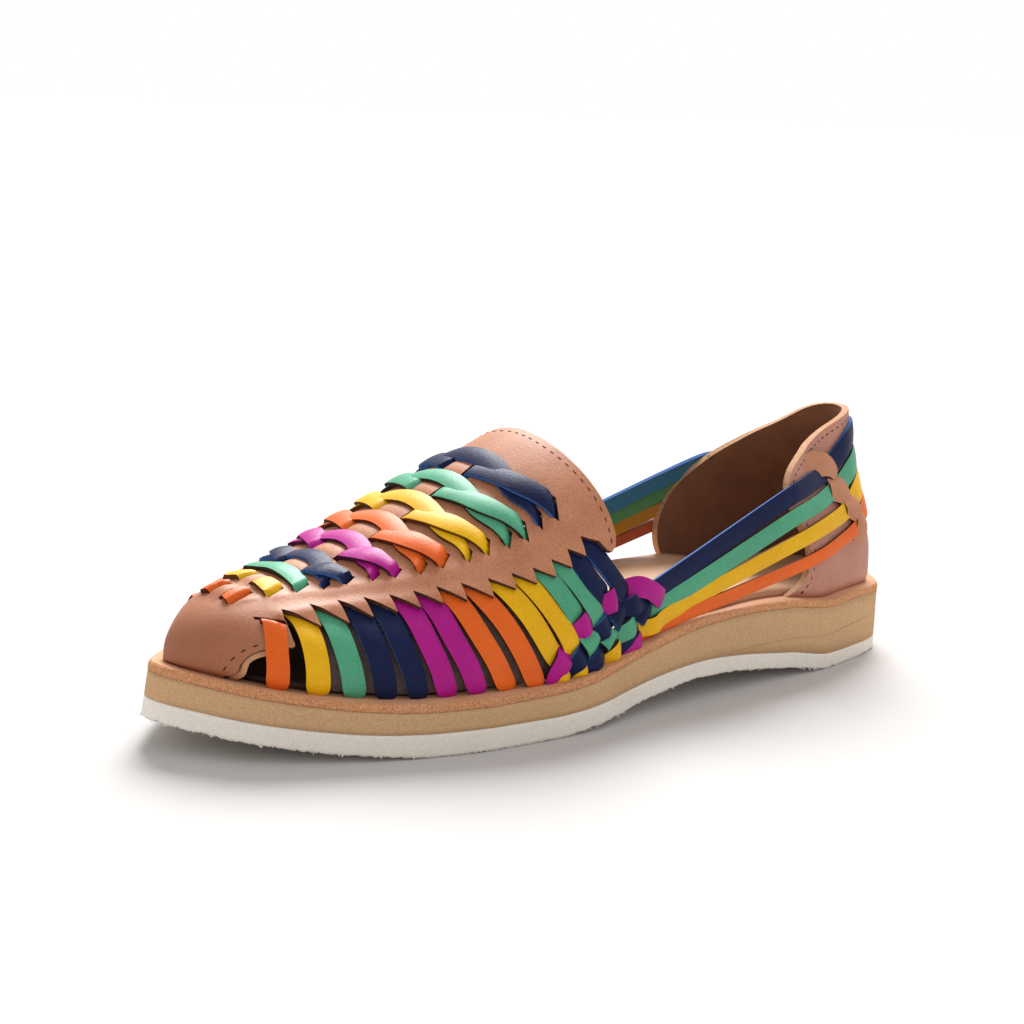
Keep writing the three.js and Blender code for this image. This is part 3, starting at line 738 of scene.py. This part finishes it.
bm = cut_flat(flattened(outline), [flattened(hole) for hole in holes], X_LINES, Y_LINES)
whole = bm.verts[:] + bm.edges[:] + bm.faces[:]
bmesh.ops.mirror(bm, geom=whole, matrix=Matrix.Identity(4), merge_dist=0.005, axis="Y")
bend_leather(bm, vamp_face(0), vamp_face(VAMP_THICK))
vamp = piece_from(bm, "vamp", [vamp_leather, brown_edge, tan_suede])

# ---- vamp stitching ----
# A single row of waxed brown thread follows the throat edge, and another goes round each side
# hole of the toe cap. Each stitch lies half sunk in the leather.

STITCH_WIDE = 0.5
STITCH_SUNK = 0.08
# Where the stitches run round a side hole: x and around.
ARCH_SEAM = [(242, 0.722), (244.9, 0.744), (247.2, 0.785), (249, 0.845), (250, 0.91), (250.7, 0.965)]


def sew(bm, places, pitch, long):
    """Lays stitches of that pitch along a row of (place, normal) points."""
    travelled = 0.0
    following = pitch / 2
    for (start, normal), (end, _) in zip(places, places[1:]):
        step = end - start
        while travelled + step.length >= following:
            along = step.normalized()
            side = normal.cross(along).normalized()
            centre = start + along * (following - travelled) - normal * STITCH_SUNK
            shape = Matrix((
                (*(along * long / 2), 0), (*(side * STITCH_WIDE / 2), 0),
                (*(normal * STITCH_WIDE * 0.45), 0), (0, 0, 0, 1),
            )).transposed()
            bmesh.ops.create_uvsphere(
                bm, u_segments=8, v_segments=6, radius=1,
                matrix=Matrix.Translation(centre) @ shape,
            )
            following += pitch
        travelled += step.length


thread_brown = crumbly("thread_brown", "4A2C1E", "2C1810", 2600, 0.5, rough=0.6)

bm = bmesh.new()
throat_row = rounded_path([(x + 2.1, around) for x, around in THROAT[:-3]] + [(141.4, 0.585)], 0.7)
arch_row = rounded_path(ARCH_SEAM, 0.7)
row = [on_vamp(x, -around) for x, around in throat_row][::-1]
sew(bm, row + [on_vamp(x, around) for x, around in throat_row], 3.3, 1.9)
for side in (1, -1):
    sew(bm, [on_vamp(x, side * around) for x, around in arch_row], 3.4, 1.8)
piece_from(bm, "vamp_stitches", [thread_brown])

# ---- lining and painted shade ----
# A lining of grey-brown suede stands inside the strips from behind the toe to the instep, and
# shows in the gaps between them. It is partly a lining and partly painted shade: a dark sheet
# that darkens the inside of the toe and the gaps. It is held in the sole and reaches farther
# back on the sides.

LINING_DEPTH = 4.2
LINING_FRONT = 227
LINING_REAR = 168
LINING_THICK = 0.8
# The grey-brown suede is partly the lining's colour and partly painted shade for the dark inside of
# the toe.
shade_grey_suede = suede("lining_and_shade_suede", "94817A", "6C5A52")
bm = bmesh.new()
bmesh.ops.create_grid(bm, x_segments=60, y_segments=44, size=0.5)
for vertex in bm.verts:
    around = vertex.co.y * 1.99
    rear = LINING_REAR - 24 * clamped((abs(around) - 0.5) / 0.2)
    x = rear + (vertex.co.x + 0.5) * (LINING_FRONT - rear)
    vertex.co = lifted(x, around, -LINING_DEPTH)[0]
bmesh.ops.recalc_face_normals(bm, faces=bm.faces[:])
lining_and_shade = piece_from(bm, "lining_and_shade", [shade_grey_suede])
body = lining_and_shade.modifiers.new("thickness", "SOLIDIFY")
body.thickness = LINING_THICK * MM

# ---- woven strips ----
# Fifteen coloured leather strips on each side. Each goes up from the sole over the foot, under
# the toothed band, out through a slot, across the top and down the other side. Neighbours of one
# colour cross each other: one goes under the spine and the other arches over it.

STRIP_THICK = 1.4
UNDER_BAND = -1.6
UNDER_SPINE = -0.7
# Each colour of strip: its light and dark tones, its cut edge, its flesh side and its slot.
STRIP_COLOURS = {
    "orange": ("E96A1E", "DB5A16", "5A2412", "B2502A", "strap_orange"),
    "yellow": ("EEB808", "DCA206", "5E3A10", "B07A12", "strap_yellow"),
    "mint": ("56A881", "479573", "33281A", "4E8B57", "strap_mint"),
    "navy": ("18224A", "121938", "3F66A4", "2B6C8C", "strap_navy"),
    "magenta": ("B80F8A", "A00A7A", "4A1030", "7A1A5A", "vamp_leather"),
}
# The six rear strips are woven with the heel straps beside the instep. Where each goes below
# its free part: x, around, lift and width. Where something crosses over it, it lies lower.
WOVEN_ENDS = [
    [(172.2, 0.755, 0.2, 6), (167.2, 0.88, 0.1, 6), (163.6, 0.935, -1.4, 6)],
    [(165.4, 0.75, 0.2, 5.8), (160.4, 0.87, 0.2, 6), (158.2, 0.939, -1.5, 5.8)],
    [
        (160.6, 0.72, 0.2, 5.6), (157.8, 0.785, -0.1, 5.8), (155.9, 0.825, -1.6, 5.6),
        (152.9, 0.9, 1, 5.8), (150.2, 0.965, -2.6, 4.6),
    ],
    [
        (154, 0.725, 0.2, 5.4), (150.2, 0.812, 0.2, 5.8), (148.5, 0.859, -1.6, 5.6),
        (145.2, 0.915, 0.9, 5.8), (142.6, 0.965, -2.6, 4.6),
    ],
    [
        (151, 0.68, 0.2, 6), (147, 0.745, 0, 6), (144.5, 0.775, -1.6, 5.6),
        (141.3, 0.839, 1, 6.2), (136.9, 0.904, -1.8, 5.6), (133, 0.965, -2.4, 4.6),
    ],
    [
        (143.8, 0.663, 0.2, 6), (138, 0.768, 0.1, 5.8), (135.1, 0.823, -1.6, 5.8),
        (129.9, 0.877, 1, 6.2), (126, 0.945, -2.4, 4.6),
    ],
]
FIRST_WOVEN = 9
FIRST_WIDE, STRIP_WIDE, LAST_WIDE = 5, 5.9, 6.6
STRIP_CROWN = 0.4
# A strip bends down over this many millimetres before it goes under a lip.
DIVE = 1.9
SPACING = 1.1


def soft_step(value, low, high):
    share = clamped((value - low) / (high - low))
    return share * share * (3 - 2 * share)


def girth(x, around):
    """Millimetres round the last for each 1 of around."""
    step = 0.01
    around = max(step - 1, min(1 - step, around))
    return (on_last(x, around + step) - on_last(x, around - step)).length / (2 * step)


def outboard_of(cut, x, around):
    """How far a place lies outboard of a cut in the vamp, in millimetres."""
    x1, around1, x2, around2 = cut
    scale = girth((x1 + x2) / 2, (around1 + around2) / 2)
    along = Vector((x2 - x1, (around2 - around1) * scale)).normalized()
    return along.x * (around - around1) * scale - along.y * (x - x1)


def width_through(cut, before, slot):
    """How wide a strip from before to slot is when it just fills a cut, in millimetres."""
    scale = girth(slot[0], slot[1])
    along = Vector((slot[0] - before[0], (slot[1] - before[1]) * scale)).normalized()
    x1, around1, x2, around2 = cut
    return abs((x2 - x1) * along.y - (around2 - around1) * scale * along.x)


def ribbon_grid(steps, place_at, outward_at):
    """A sheet along a ribbon. place_at takes a station's number and a share of the half width
    (-1 to 1), and outward_at gives the way its face looks at a place."""
    bm = bmesh.new()
    bmesh.ops.create_grid(bm, x_segments=steps, y_segments=6, size=0.5)
    for vertex in bm.verts:
        vertex.co = place_at(round((vertex.co.x + 0.5) * steps), vertex.co.y * 2)
    bm.normal_update()
    faces = bm.faces[:]
    middle = faces[len(faces) // 2]
    if middle.normal.dot(outward_at(middle.calc_center_median())) < 0:
        bmesh.ops.reverse_faces(bm, faces=faces)
    return bm


def lay_strip(rows, dives=(), tilt=0.0):
    """A strip over the last, along rows of (x, around, lift, width). Each dive is a cut, the way
    the strip goes under its lip (1 outboard), the lift there and the arounds it applies to."""
    path = rounded_path(rows, SPACING)
    steps = len(path) - 1
    scales = [girth(x, around) for x, around, _, _ in path]
    middle_x = path[steps // 2][0]
    core = Vector((middle_x, RIDGE_Y, sole_top(middle_x)))

    def place_at(i, share):
        x, around, lift, width = path[i]
        ahead, behind = path[min(i + 1, steps)], path[max(i - 1, 0)]
        along = Vector((ahead[0] - behind[0], (ahead[1] - behind[1]) * scales[i])).normalized()
        x -= along.y * share * width / 2
        around += along.x * share * width / 2 / scales[i]
        for cut, way, low, (start, end) in dives:
            if start <= abs(around) < end:
                gone = soft_step(outboard_of(cut, x, abs(around)) * way, -DIVE, 0.2)
                lift += (low - lift) * gone
        lift -= STRIP_CROWN * share ** 2 + tilt * share
        return lifted(x, around, lift)[0]

    return ribbon_grid(steps, place_at, lambda place: place - core)


def ribbon_mesh(stations, crown=0.25):
    """A ribbon through stations of (place, normal, width), slightly crowned across."""
    steps = len(stations) - 1

    def place_at(i, share):
        place, normal, width = stations[i]
        along = stations[min(i + 1, steps)][0] - stations[max(i - 1, 0)][0]
        side = normal.cross(along).normalized()
        upright = along.cross(side).normalized()
        return place + side * (share * width / 2) - upright * crown * share * share

    def outward_at(place):
        return min(stations, key=lambda station: (station[0] - place).length)[1]

    return ribbon_grid(steps, place_at, outward_at)


def leather_strip(name, meshes, materials, thick=STRIP_THICK):
    """One object from ribbons, with thickness behind them and their long edges eased."""
    whole = bmesh.new()
    for bm in meshes:
        part = mesh_from(bm, "part")
        whole.from_mesh(part)
        bpy.data.meshes.remove(part)
    made = piece_from(whole, name, materials)
    solid = made.modifiers.new("thickness", "SOLIDIFY")
    solid.thickness = thick * MM
    solid.offset = -1
    solid.material_offset_rim = 1
    solid.material_offset = 2
    eased = made.modifiers.new("eased_edges", "BEVEL")
    eased.width = 0.3 * MM
    eased.segments = 2
    eased.limit_method = "ANGLE"
    eased.angle_limit = radians(50)
    eased.harden_normals = True
    return made


strip_materials = {}
for colour, (light, dark, edge, flesh, _) in STRIP_COLOURS.items():
    shine = 0.1 if colour == "navy" else 0.2
    strip_materials[colour] = [
        leather("strip_" + colour, light, dark, rough=0.38, bump=0.16, shine=shine),
        crumbly("strip_edge_" + colour, edge, edge, 1500, 0.5),
        suede("strip_back_" + colour, flesh, flesh),
    ]


def coloured_strip(name, meshes, colour, thick=STRIP_THICK):
    """A leather strip in one of the colours, with that colour's leather, cut edge and flesh side."""
    return leather_strip(name, meshes, strip_materials[colour], thick)


for number, (colour, over, spine_x, mid, slot, out, side_x, foot_x) in enumerate(STRIPS):
    first, frontmost = number == 0, number < 2
    wide = FIRST_WIDE if first else LAST_WIDE if number > 12 else STRIP_WIDE
    lip = TEETH[number - 1][1] - 0.03
    dives = [(TOP_SLOTS[number], 1, UNDER_BAND, (0, 0.4 if first else lip))]
    if over:
        near_spine = spine_x + (mid[0] - spine_x) * 0.12
        rows = [(spine_x, 0, 2, 5.8), (near_spine, 0.09, 1.8, 5.8), (*mid, 1.4, 5.4)]
    else:
        spine = min(SPINE_SLOTS, key=lambda cut: abs((cut[0] + cut[2]) / 2 - spine_x))
        dives.append((spine, -1, UNDER_SPINE, (0, 1)))
        rows = [(spine_x, 0, UNDER_SPINE, 5.4), (spine_x, spine[1], 1.5, 5.4)]
        if not frontmost:
            half_way = (spine_x + mid[0]) / 2, (spine[1] + mid[1]) / 2
            rows += [(*half_way, 1.9, 6), (*mid, 2.6, 6.6)]
    close = (mid[0] + (slot[0] - mid[0]) * 0.6, mid[1] + (slot[1] - mid[1]) * 0.6)
    filling = width_through(TOP_SLOTS[number], mid, slot) + 0.5
    rows += [
        (*close, 1.4 if over or frontmost else 2.1, filling), (*slot, 1.3, filling),
        ((slot[0] * 2 + out[0]) / 3, slot[1] + 0.035, UNDER_BAND, filling),
    ]
    if first:
        dives.append((BAND_SLOT, -1, UNDER_BAND, (0.36, 0.75)))
        rows += [
            (238.3, 0.42, UNDER_BAND, wide), (237.5, 0.5, 1.2, wide), (*out, 1.4, wide),
            (238.1, 0.66, 1.2, wide),
        ]
    else:
        under = slot[0] + (out[0] - slot[0]) * (lip - slot[1]) / (out[1] - slot[1])
        rows += [(under, lip, UNDER_BAND, wide), (*out, -0.9, wide)]
    if number < FIRST_WOVEN:
        drift = (foot_x - side_x) / 0.22
        rows += [
            (side_x, 0.78, 0.4, wide), (side_x + drift * 0.12, 0.9, 0.3, wide),
            (side_x + drift * 0.18, 0.96, -0.1, wide), (foot_x, 0.99, -0.6, wide - 0.6),
            (foot_x, 1.01, -1.1, 3.8), (foot_x, 1.03, -1.6, 2),
        ]
    else:
        rows += [*WOVEN_ENDS[number - FIRST_WOVEN], (foot_x, 1.02, -2.8, 4)]
    mirrored = [(x, -around, lift, width) for x, around, lift, width in rows[:0:-1]]
    ribbon = lay_strip(mirrored + rows, dives, tilt=0.25)
    coloured_strip(f"strip_{number + 1:02d}_{colour}", [ribbon], colour)
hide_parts("upper")

# ---- toe hole welts ----
# The edge of each side hole in the toe cap is backed by a narrow folded welt of light leather,
# which stands just inside it from the band down to the sole.

WELT = [
    (237.5, 0.752), (241, 0.762), (243.9, 0.782), (246.1, 0.825), (247, 0.885), (247.6, 0.94),
    (249.4, 0.99), (249.8, 1.02),
]
welts = []
for side in (1, -1):
    path = rounded_path(WELT, 0.8)
    stations = [(*on_vamp(x, side * around, above=-1.1), 2.4) for x, around in path]
    welts.append(ribbon_mesh(stations, crown=0.5))
leather_strip("toe_hole_welts", welts, [ledge_leather, brown_edge, tan_suede], 0.9)

# ---- side weave ----
# Beside the instep a magenta lace is woven through the six rear strips on each side, above the
# heel straps. Short coloured ends show between them where they are tucked in at the sole.

# Along each, from the end nearest the heel: x, around, lift and width.
LACE = [
    (122.2, 0.852, 0.2, 5.4), (124.8, 0.83, 1.5, 5.5), (129, 0.785, 1.9, 5.4), (133.8, 0.757, 1.4, 6),
    (138.6, 0.763, -2, 6.2), (144.5, 0.775, 1.5, 6.4), (150, 0.8, -2.2, 6), (155.9, 0.827, 1.5, 6.2),
    (160, 0.87, -2.2, 6), (163.6, 0.926, 1.4, 6), (165.4, 0.965, 0.7, 5.8), (166, 0.995, -0.4, 5),
    (166, 1.02, -1.4, 3),
]
TUCKED_ENDS = {
    "navy": [
        [
            (146.5, 0.93, -1.9, 5), (150.6, 0.965, 0.9, 5.4), (153.4, 0.99, 0, 5.4),
            (154, 1.02, -1.4, 4),
        ],
        [(129.4, 0.945, -2, 5), (134.5, 0.958, 0.5, 5), (139.4, 0.995, -1, 4.6)],
    ],
    "yellow": [
        [(152.6, 0.965, -1.9, 4), (156.2, 0.982, 0.6, 4.4), (158.4, 1.01, -1.4, 4)],
        [(159.6, 0.96, -1.9, 4), (162.7, 0.982, 0.6, 4.4), (165, 1.01, -1.4, 4)],
    ],
    "magenta": [[(128.6, 0.965, -2, 4.4), (132.6, 0.983, 0.9, 4.8), (138.4, 1.02, -1, 4.4)]],
}


def both_sides(rows):
    """A strip along these rows, and its mirror on the inner side."""
    inner = [(x, -around, lift, width) for x, around, lift, width in rows]
    return [lay_strip(rows), lay_strip(inner)]


coloured_strip("weave_lace_magenta", both_sides(LACE), "magenta")
for colour, ends in TUCKED_ENDS.items():
    tucked = [ribbon for rows in ends for ribbon in both_sides(rows)]
    coloured_strip("weave_ends_" + colour, tucked, colour)

# ---- heel counter ----
# A tall cup of the tan leather, moulded over the heel, with its suede side in. It leans in as it
# rises, and its rim sweeps down to two front edges. The rim is left a light, raw leather colour.

COUNTER_PEAK = 77
COUNTER_REACH = 74
COUNTER_FOOT = 22
COUNTER_THICK = 2.2
COUNTER_FOOT_SHARE = 0.93
# The rim and front edge in side view, from the peak down: x and z.
CUP_OUTER_EDGE = [
    (13.5, 77), (22, 75.2), (34, 71.4), (41, 69.2), (52, 65.4), (58, 62.2), (61, 58.5), (61, 54),
    (58, 46), (55, 38), (55.6, 32.5), (58, 28.5), (62.4, 25.8), (67, 22.8), (69, 19),
]
CUP_INNER_EDGE = [
    (13.5, 77), (19, 74.5), (26, 70), (36, 65), (47, 58.7), (55, 52.5), (62, 45), (66, 37),
    (66, 31), (62, 22), (61, 19),
]
# The cup's half width at its peak, outer and inner, by the distance from its back.
peak_outer, peak_inner = rules([
    (0, 0, 0), (4, 8, 8), (13, 12, 13), (25, 13.5, 18), (36, 16.5, 21), (45, 20.5, 23), (74, 30, 28),
], 2)
# How far it has narrowed from foot to peak, and how far forward its back is, by its height.
cup_narrowed, cup_back = rules([
    (0, 0, 3.5), (0.22, 0.05, 4), (0.35, 0.16, 5.6), (0.45, 0.3, 7), (0.67, 0.78, 10),
    (0.8, 0.93, 11.8), (1, 1, 13.3),
])


def share_up(z):
    return (z - COUNTER_FOOT) / (COUNTER_PEAK - COUNTER_FOOT)


def on_cup(turn, z):
    """A place on the cup: turn from -1 at the inner front round the heel at 0 to 1, and height."""
    back = cup_back(share_up(z))
    reach = COUNTER_REACH * (1 - cos(abs(turn) * pi / 2))
    foot = sole_half(reach, turn) * COUNTER_FOOT_SHARE
    peak = peak_outer(reach) if turn >= 0 else peak_inner(reach)
    width = foot + (peak - foot) * cup_narrowed(share_up(z))
    return Vector((back + reach * (1 - back / COUNTER_REACH), copysign(width, turn), z))


def turn_at(x, z):
    """The cup's turn where the height z meets the distance x."""
    back = cup_back(share_up(z))
    reach = max(x - back, 0) / (1 - back / COUNTER_REACH)
    return acos(max(1 - reach / COUNTER_REACH, -1)) * 2 / pi


def off_cup(turn, z, lift):
    """A place lifted off the cup, and the direction there."""
    around = on_cup(turn + 0.01, z) - on_cup(turn - 0.01, z)
    up = on_cup(turn, z + 0.5) - on_cup(turn, z - 0.5)
    normal = up.cross(around).normalized()
    return on_cup(turn, z) + normal * lift, normal


def cup_face(depth):
    def place(turn, z):
        place = on_cup(turn / FLAT, z)
        tuck = -1.1 * max(0, 1 - (z - sole_top(place.x)) / 3) ** 2
        wave = 0.12 * ripple(turn / 9, z / 11, 4)
        made = off_cup(turn / FLAT, z, wave + tuck - depth)[0]
        made.z = max(made.z, sole_top(made.x) - 0.8)
        return made

    return place


counter_leather = leather("counter_leather", "C28670", "A86E5A", rough=0.42, bump=0.14, shine=0.36)
pale_edge = crumbly("edge_pale", "D8AC88", "B07E5C", 1200, 0.5)
cup_suede = suede("cup_suede", "8A583C", "724A32")

outer_rim = smooth_path(CUP_OUTER_EDGE, 1)
inner_rim = smooth_path(CUP_INNER_EDGE, 1)
outline = [(turn_at(x, z) * FLAT, z) for x, z in outer_rim[1:]][::-1] + [(0, COUNTER_PEAK)]
outline += [(-turn_at(x, z) * FLAT, z) for x, z in inner_rim[1:]]
turn_lines = [-57.6 + 1.2 * i for i in range(98)]
bm = cut_flat(outline, [], turn_lines, [19 + 1.6 * i for i in range(1, 37)])
bend_leather(bm, cup_face(0), cup_face(COUNTER_THICK))
cup_hides = [counter_leather, pale_edge, cup_suede]
counter = piece_from(bm, "heel_counter_cup", cup_hides)
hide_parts("heel_counter")

# ---- counter stitching ----
# One row of brown thread follows the rim and the front edges, two millimetres inside them. It
# ends above the sole.

SEAM_INSET = 2.3
SEAM_FOOT = 24
bm = bmesh.new()
for side, rim in ((1, outer_rim[2:]), (-1, inner_rim[2:])):
    places = []
    for before, here, after in zip(rim, rim[1:], rim[2:]):
        along = (after - before).normalized()
        x, z = here.x + along.y * SEAM_INSET, here.y - along.x * SEAM_INSET
        if z > SEAM_FOOT:
            places.append(off_cup(side * turn_at(x, z), z, 0))
    sew(bm, places, 2.9, 1.6)
piece_from(bm, "counter_stitches", [thread_brown])

# ---- heel straps ----
# Four long straps, navy, mint, yellow and orange from the top. Each is woven in beside the
# instep, crosses the open waist, goes round the outside of the cup and back on the inner side.

STRAP_THICK = 1.3
# Each strap: where it is woven, from its end (x, around, lift, width); its height on the cup by
# turn; its width where it is free, at the tabs and behind the heel; and how much lower it lies
# at the cup's inner front.
HEEL_STRAPS = [
    ("navy", [
        (161.6, 0.99, -1.8, 4.6), (158.2, 0.939, 1.3, 5.8), (153, 0.9, -1.9, 5.4),
        (148.5, 0.86, 1.3, 5.8), (141.6, 0.84, -1.9, 5.6), (135.1, 0.823, 1.4, 6),
        (129.8, 0.812, 0.2, 6), (123.5, 0.804, -0.4, 5.8),
    ], [
        (0, 70), (0.2, 69.3), (0.34, 67.2), (0.43, 64.2), (0.52, 61), (0.62, 58.2), (0.72, 57.2),
        (0.86, 55.4),
    ], 5.8, 6, 7.7, 3.4),
    ("mint", [
        (149, 0.985, -1.9, 4.6), (143.5, 0.935, -1.9, 5), (136.9, 0.904, 1.3, 5.8),
        (130.4, 0.888, -1.9, 5.6), (126, 0.88, -0.6, 5.4), (121.5, 0.878, -0.5, 5.4),
    ], [
        (0, 62.4), (0.2, 61.4), (0.36, 58.8), (0.5, 55), (0.66, 52), (0.82, 49.8), (0.88, 48.8),
    ], 5.3, 5.3, 7, 2.4),
    ("yellow", [
        (146.4, 1, -1.8, 4.4), (143, 0.967, 1.1, 4.6), (137, 0.955, -2, 4.6),
        (131.6, 0.942, -1.2, 4.8), (126, 0.94, 1.2, 5), (121.5, 0.932, 0, 4.6),
    ], [
        (0, 55.6), (0.2, 54.6), (0.38, 52), (0.48, 49.4), (0.6, 46.2), (0.77, 43.8), (0.88, 41.6),
    ], 4.8, 5.2, 6.8, 0),
    ("orange", [(134, 0.985, -2.4, 4.4), (128, 0.975, -1.8, 4.4), (121, 0.97, -0.9, 4.2)], [
        (0, 49), (0.2, 48.4), (0.36, 46.6), (0.45, 44.4), (0.54, 41), (0.69, 38), (0.82, 35.4),
        (0.89, 34),
    ], 4.2, 4.4, 6.8, -2.5),
]
STANDOFF = 0.15
# How much farther off the cup's inner front edge the straps stand, to clear it.
INNER_CLEAR = 2.5


def strap_round_heel(heights, free, at_tabs, behind, lower):
    """Stations from the cup's outer front round the heel to its inner front."""
    height_at = rule(heights)
    width_at = rule([(0, behind), (0.35, behind - 0.4), (0.55, at_tabs), (0.9, free)])
    furthest = heights[-1][0]
    made = []
    for i in range(38):
        turn = furthest * (1 - i / 20)
        z = height_at(abs(turn)) - lower * min(turn, 0) ** 2
        lift = STANDOFF + STRAP_THICK + INNER_CLEAR * min(turn, 0) ** 4
        made.append((*off_cup(turn, z, lift), width_at(abs(turn))))
    return made


def stations_on_last(rows, side):
    """Stations of a ribbon along rows of (x, around, lift, width) on the last."""
    return [(*lifted(x, side * around, lift), width) for x, around, lift, width in rows]


def resampled(stations):
    """Stations joined by a smooth line, with their normals and widths carried along."""
    made = []
    i = 0
    for point in smooth_path([place for place, _, _ in stations], SPACING):
        here, following = stations[i][0], stations[i + 1][0]
        if i < len(stations) - 2 and (point - following).dot(following - here) > 0:
            i += 1
        (start, first, narrow), (end, second, wide) = stations[i], stations[i + 1]
        gone = (point - start).length
        share = gone / (gone + (point - end).length)
        normal = first.lerp(second, share).normalized()
        made.append((point, normal, narrow + (wide - narrow) * share))
    return made


for colour, woven, heights, free, at_tabs, behind, lower in HEEL_STRAPS:
    stations = stations_on_last(woven, 1)
    stations += strap_round_heel(heights, free, at_tabs, behind, lower)
    stations += stations_on_last(woven, -1)[::-1]
    ribbon = ribbon_mesh(resampled(stations))
    made = coloured_strip("heel_band_" + colour, [ribbon], colour, STRAP_THICK)
    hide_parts("heel_strap_" + colour)

# ---- counter loops ----
# The cup is slit into tabs, which are linked like a chain over the straps: each tab goes over a
# strap and tucks under the tab above it. The same on both sides.

# Each tab's line on the cup: x, z, lift and width.
TABS = [
    [
        (55, 58.6, -0.7, 9), (49, 61, 0.1, 9), (42.4, 61.6, 1.6, 8.6), (36.8, 60.2, 2.7, 7.6),
        (32.8, 57.5, 2.2, 6.4), (31.6, 56, 1, 5.4),
    ],
    [
        (33.6, 59, 0.9, 5), (33.6, 56.4, 1.5, 8.6), (33.2, 53.6, 2.3, 10.4), (33.6, 50.6, 2, 10.6),
        (34, 48.8, 1.2, 9.6),
    ],
    [
        (29.6, 52, 1.1, 4), (29.2, 49.6, 1.7, 7.8), (28.6, 46.8, 2.3, 9.4), (28.8, 44.4, 1.8, 9),
        (29.2, 43.2, 1.1, 8),
    ],
    [
        (26, 47, 1, 3), (25.2, 44.6, 1.7, 5.2), (25, 41.4, 2, 7), (25.8, 38, 0.9, 7.4),
        (26.6, 35.4, -0.1, 7), (27, 33.4, -0.7, 6.6),
    ],
]
# On the inner side the tabs sit farther back and lower, where the straps are.
INNER_BACK = 9
INNER_DOWN = 4.2
tab_leather = leather("tab_leather", "C68A68", "AE7252", rough=0.45)
tabs = []
for rows in TABS:
    for side in (1, -1):
        stations = []
        for x, z, lift, width in smooth_path(rows, 0.8):
            if side < 0:
                x, z = x - INNER_BACK, z - INNER_DOWN
            stations.append((*off_cup(side * turn_at(x, z), z, lift), width))
        tabs.append(ribbon_mesh(stations))
leather_strip("counter_tabs", tabs, [tab_leather, brown_edge, tan_suede], 1.3)

# ---- floor, light and camera ----
# A plain pale floor under a white sky, and one wide soft lamp from behind the inner side, which
# throws a short soft shadow toward the outer side.

bm = bmesh.new()
bmesh.ops.create_grid(bm, x_segments=1, y_segments=1, size=40)
floor = put_in_scene("floor", mesh_from(bm, "floor"))
floor_paint, surface, place = blank_material("floor_paint", {"Specular IOR Level": 0.0})
floor_tone = place.noise(2, 2).mix((0.57, 0.55, 0.54, 1), (0.58, 0.56, 0.55, 1))
place.tree.links.new(floor_tone.socket, surface.inputs["Base Color"])
surface.inputs["Roughness"].default_value = 0.9
floor.data.materials.append(floor_paint)

world = bpy.data.worlds.new("studio")
bpy.context.scene.world = world
world.use_nodes = True
sky = world.node_tree.nodes["Background"]
sky.inputs["Color"].default_value = (1, 1, 1, 1)
backdrop = Wire(world.node_tree, world.node_tree.nodes.new("ShaderNodeLightPath").outputs[0])
SKY_LIGHT = 0.74
world.node_tree.links.new((backdrop * (1 - SKY_LIGHT) + SKY_LIGHT).socket, sky.inputs["Strength"])

LAMP_TO = Vector((-0.62, -0.72, 0.88)).normalized()
lamp = bpy.data.lights.new("window", "SUN")
lamp.energy = 5.6
lamp.angle = radians(32)
put_in_scene("window", lamp).rotation_euler = LAMP_TO.to_track_quat("Z", "Y").to_euler()

# The camera stands in front of the outer side, a little above the floor, tilted slightly.
CAMERA_PLACE = Vector((366.3, 456.3, 168.4)) * MM
CAMERA_TURN = radians(37.512)
CAMERA_RISE = radians(11.353)
CAMERA_ROLL = radians(2.327)
back = Vector((
    sin(CAMERA_TURN) * cos(CAMERA_RISE), cos(CAMERA_TURN) * cos(CAMERA_RISE),
    sin(CAMERA_RISE),
))
turned = back.to_track_quat("Z", "Y").to_matrix() @ Matrix.Rotation(CAMERA_ROLL, 3, "Z")
camera = bpy.data.cameras.new("camera")
camera.sensor_width = 36
camera.lens = 71.09
camera.clip_start = 0.01
camera_object = put_in_scene("camera", camera)
camera_object.matrix_world = Matrix.Translation(CAMERA_PLACE) @ turned.to_4x4()
bpy.context.scene.camera = camera_object
bpy.context.scene.view_settings.view_transform = "Standard"
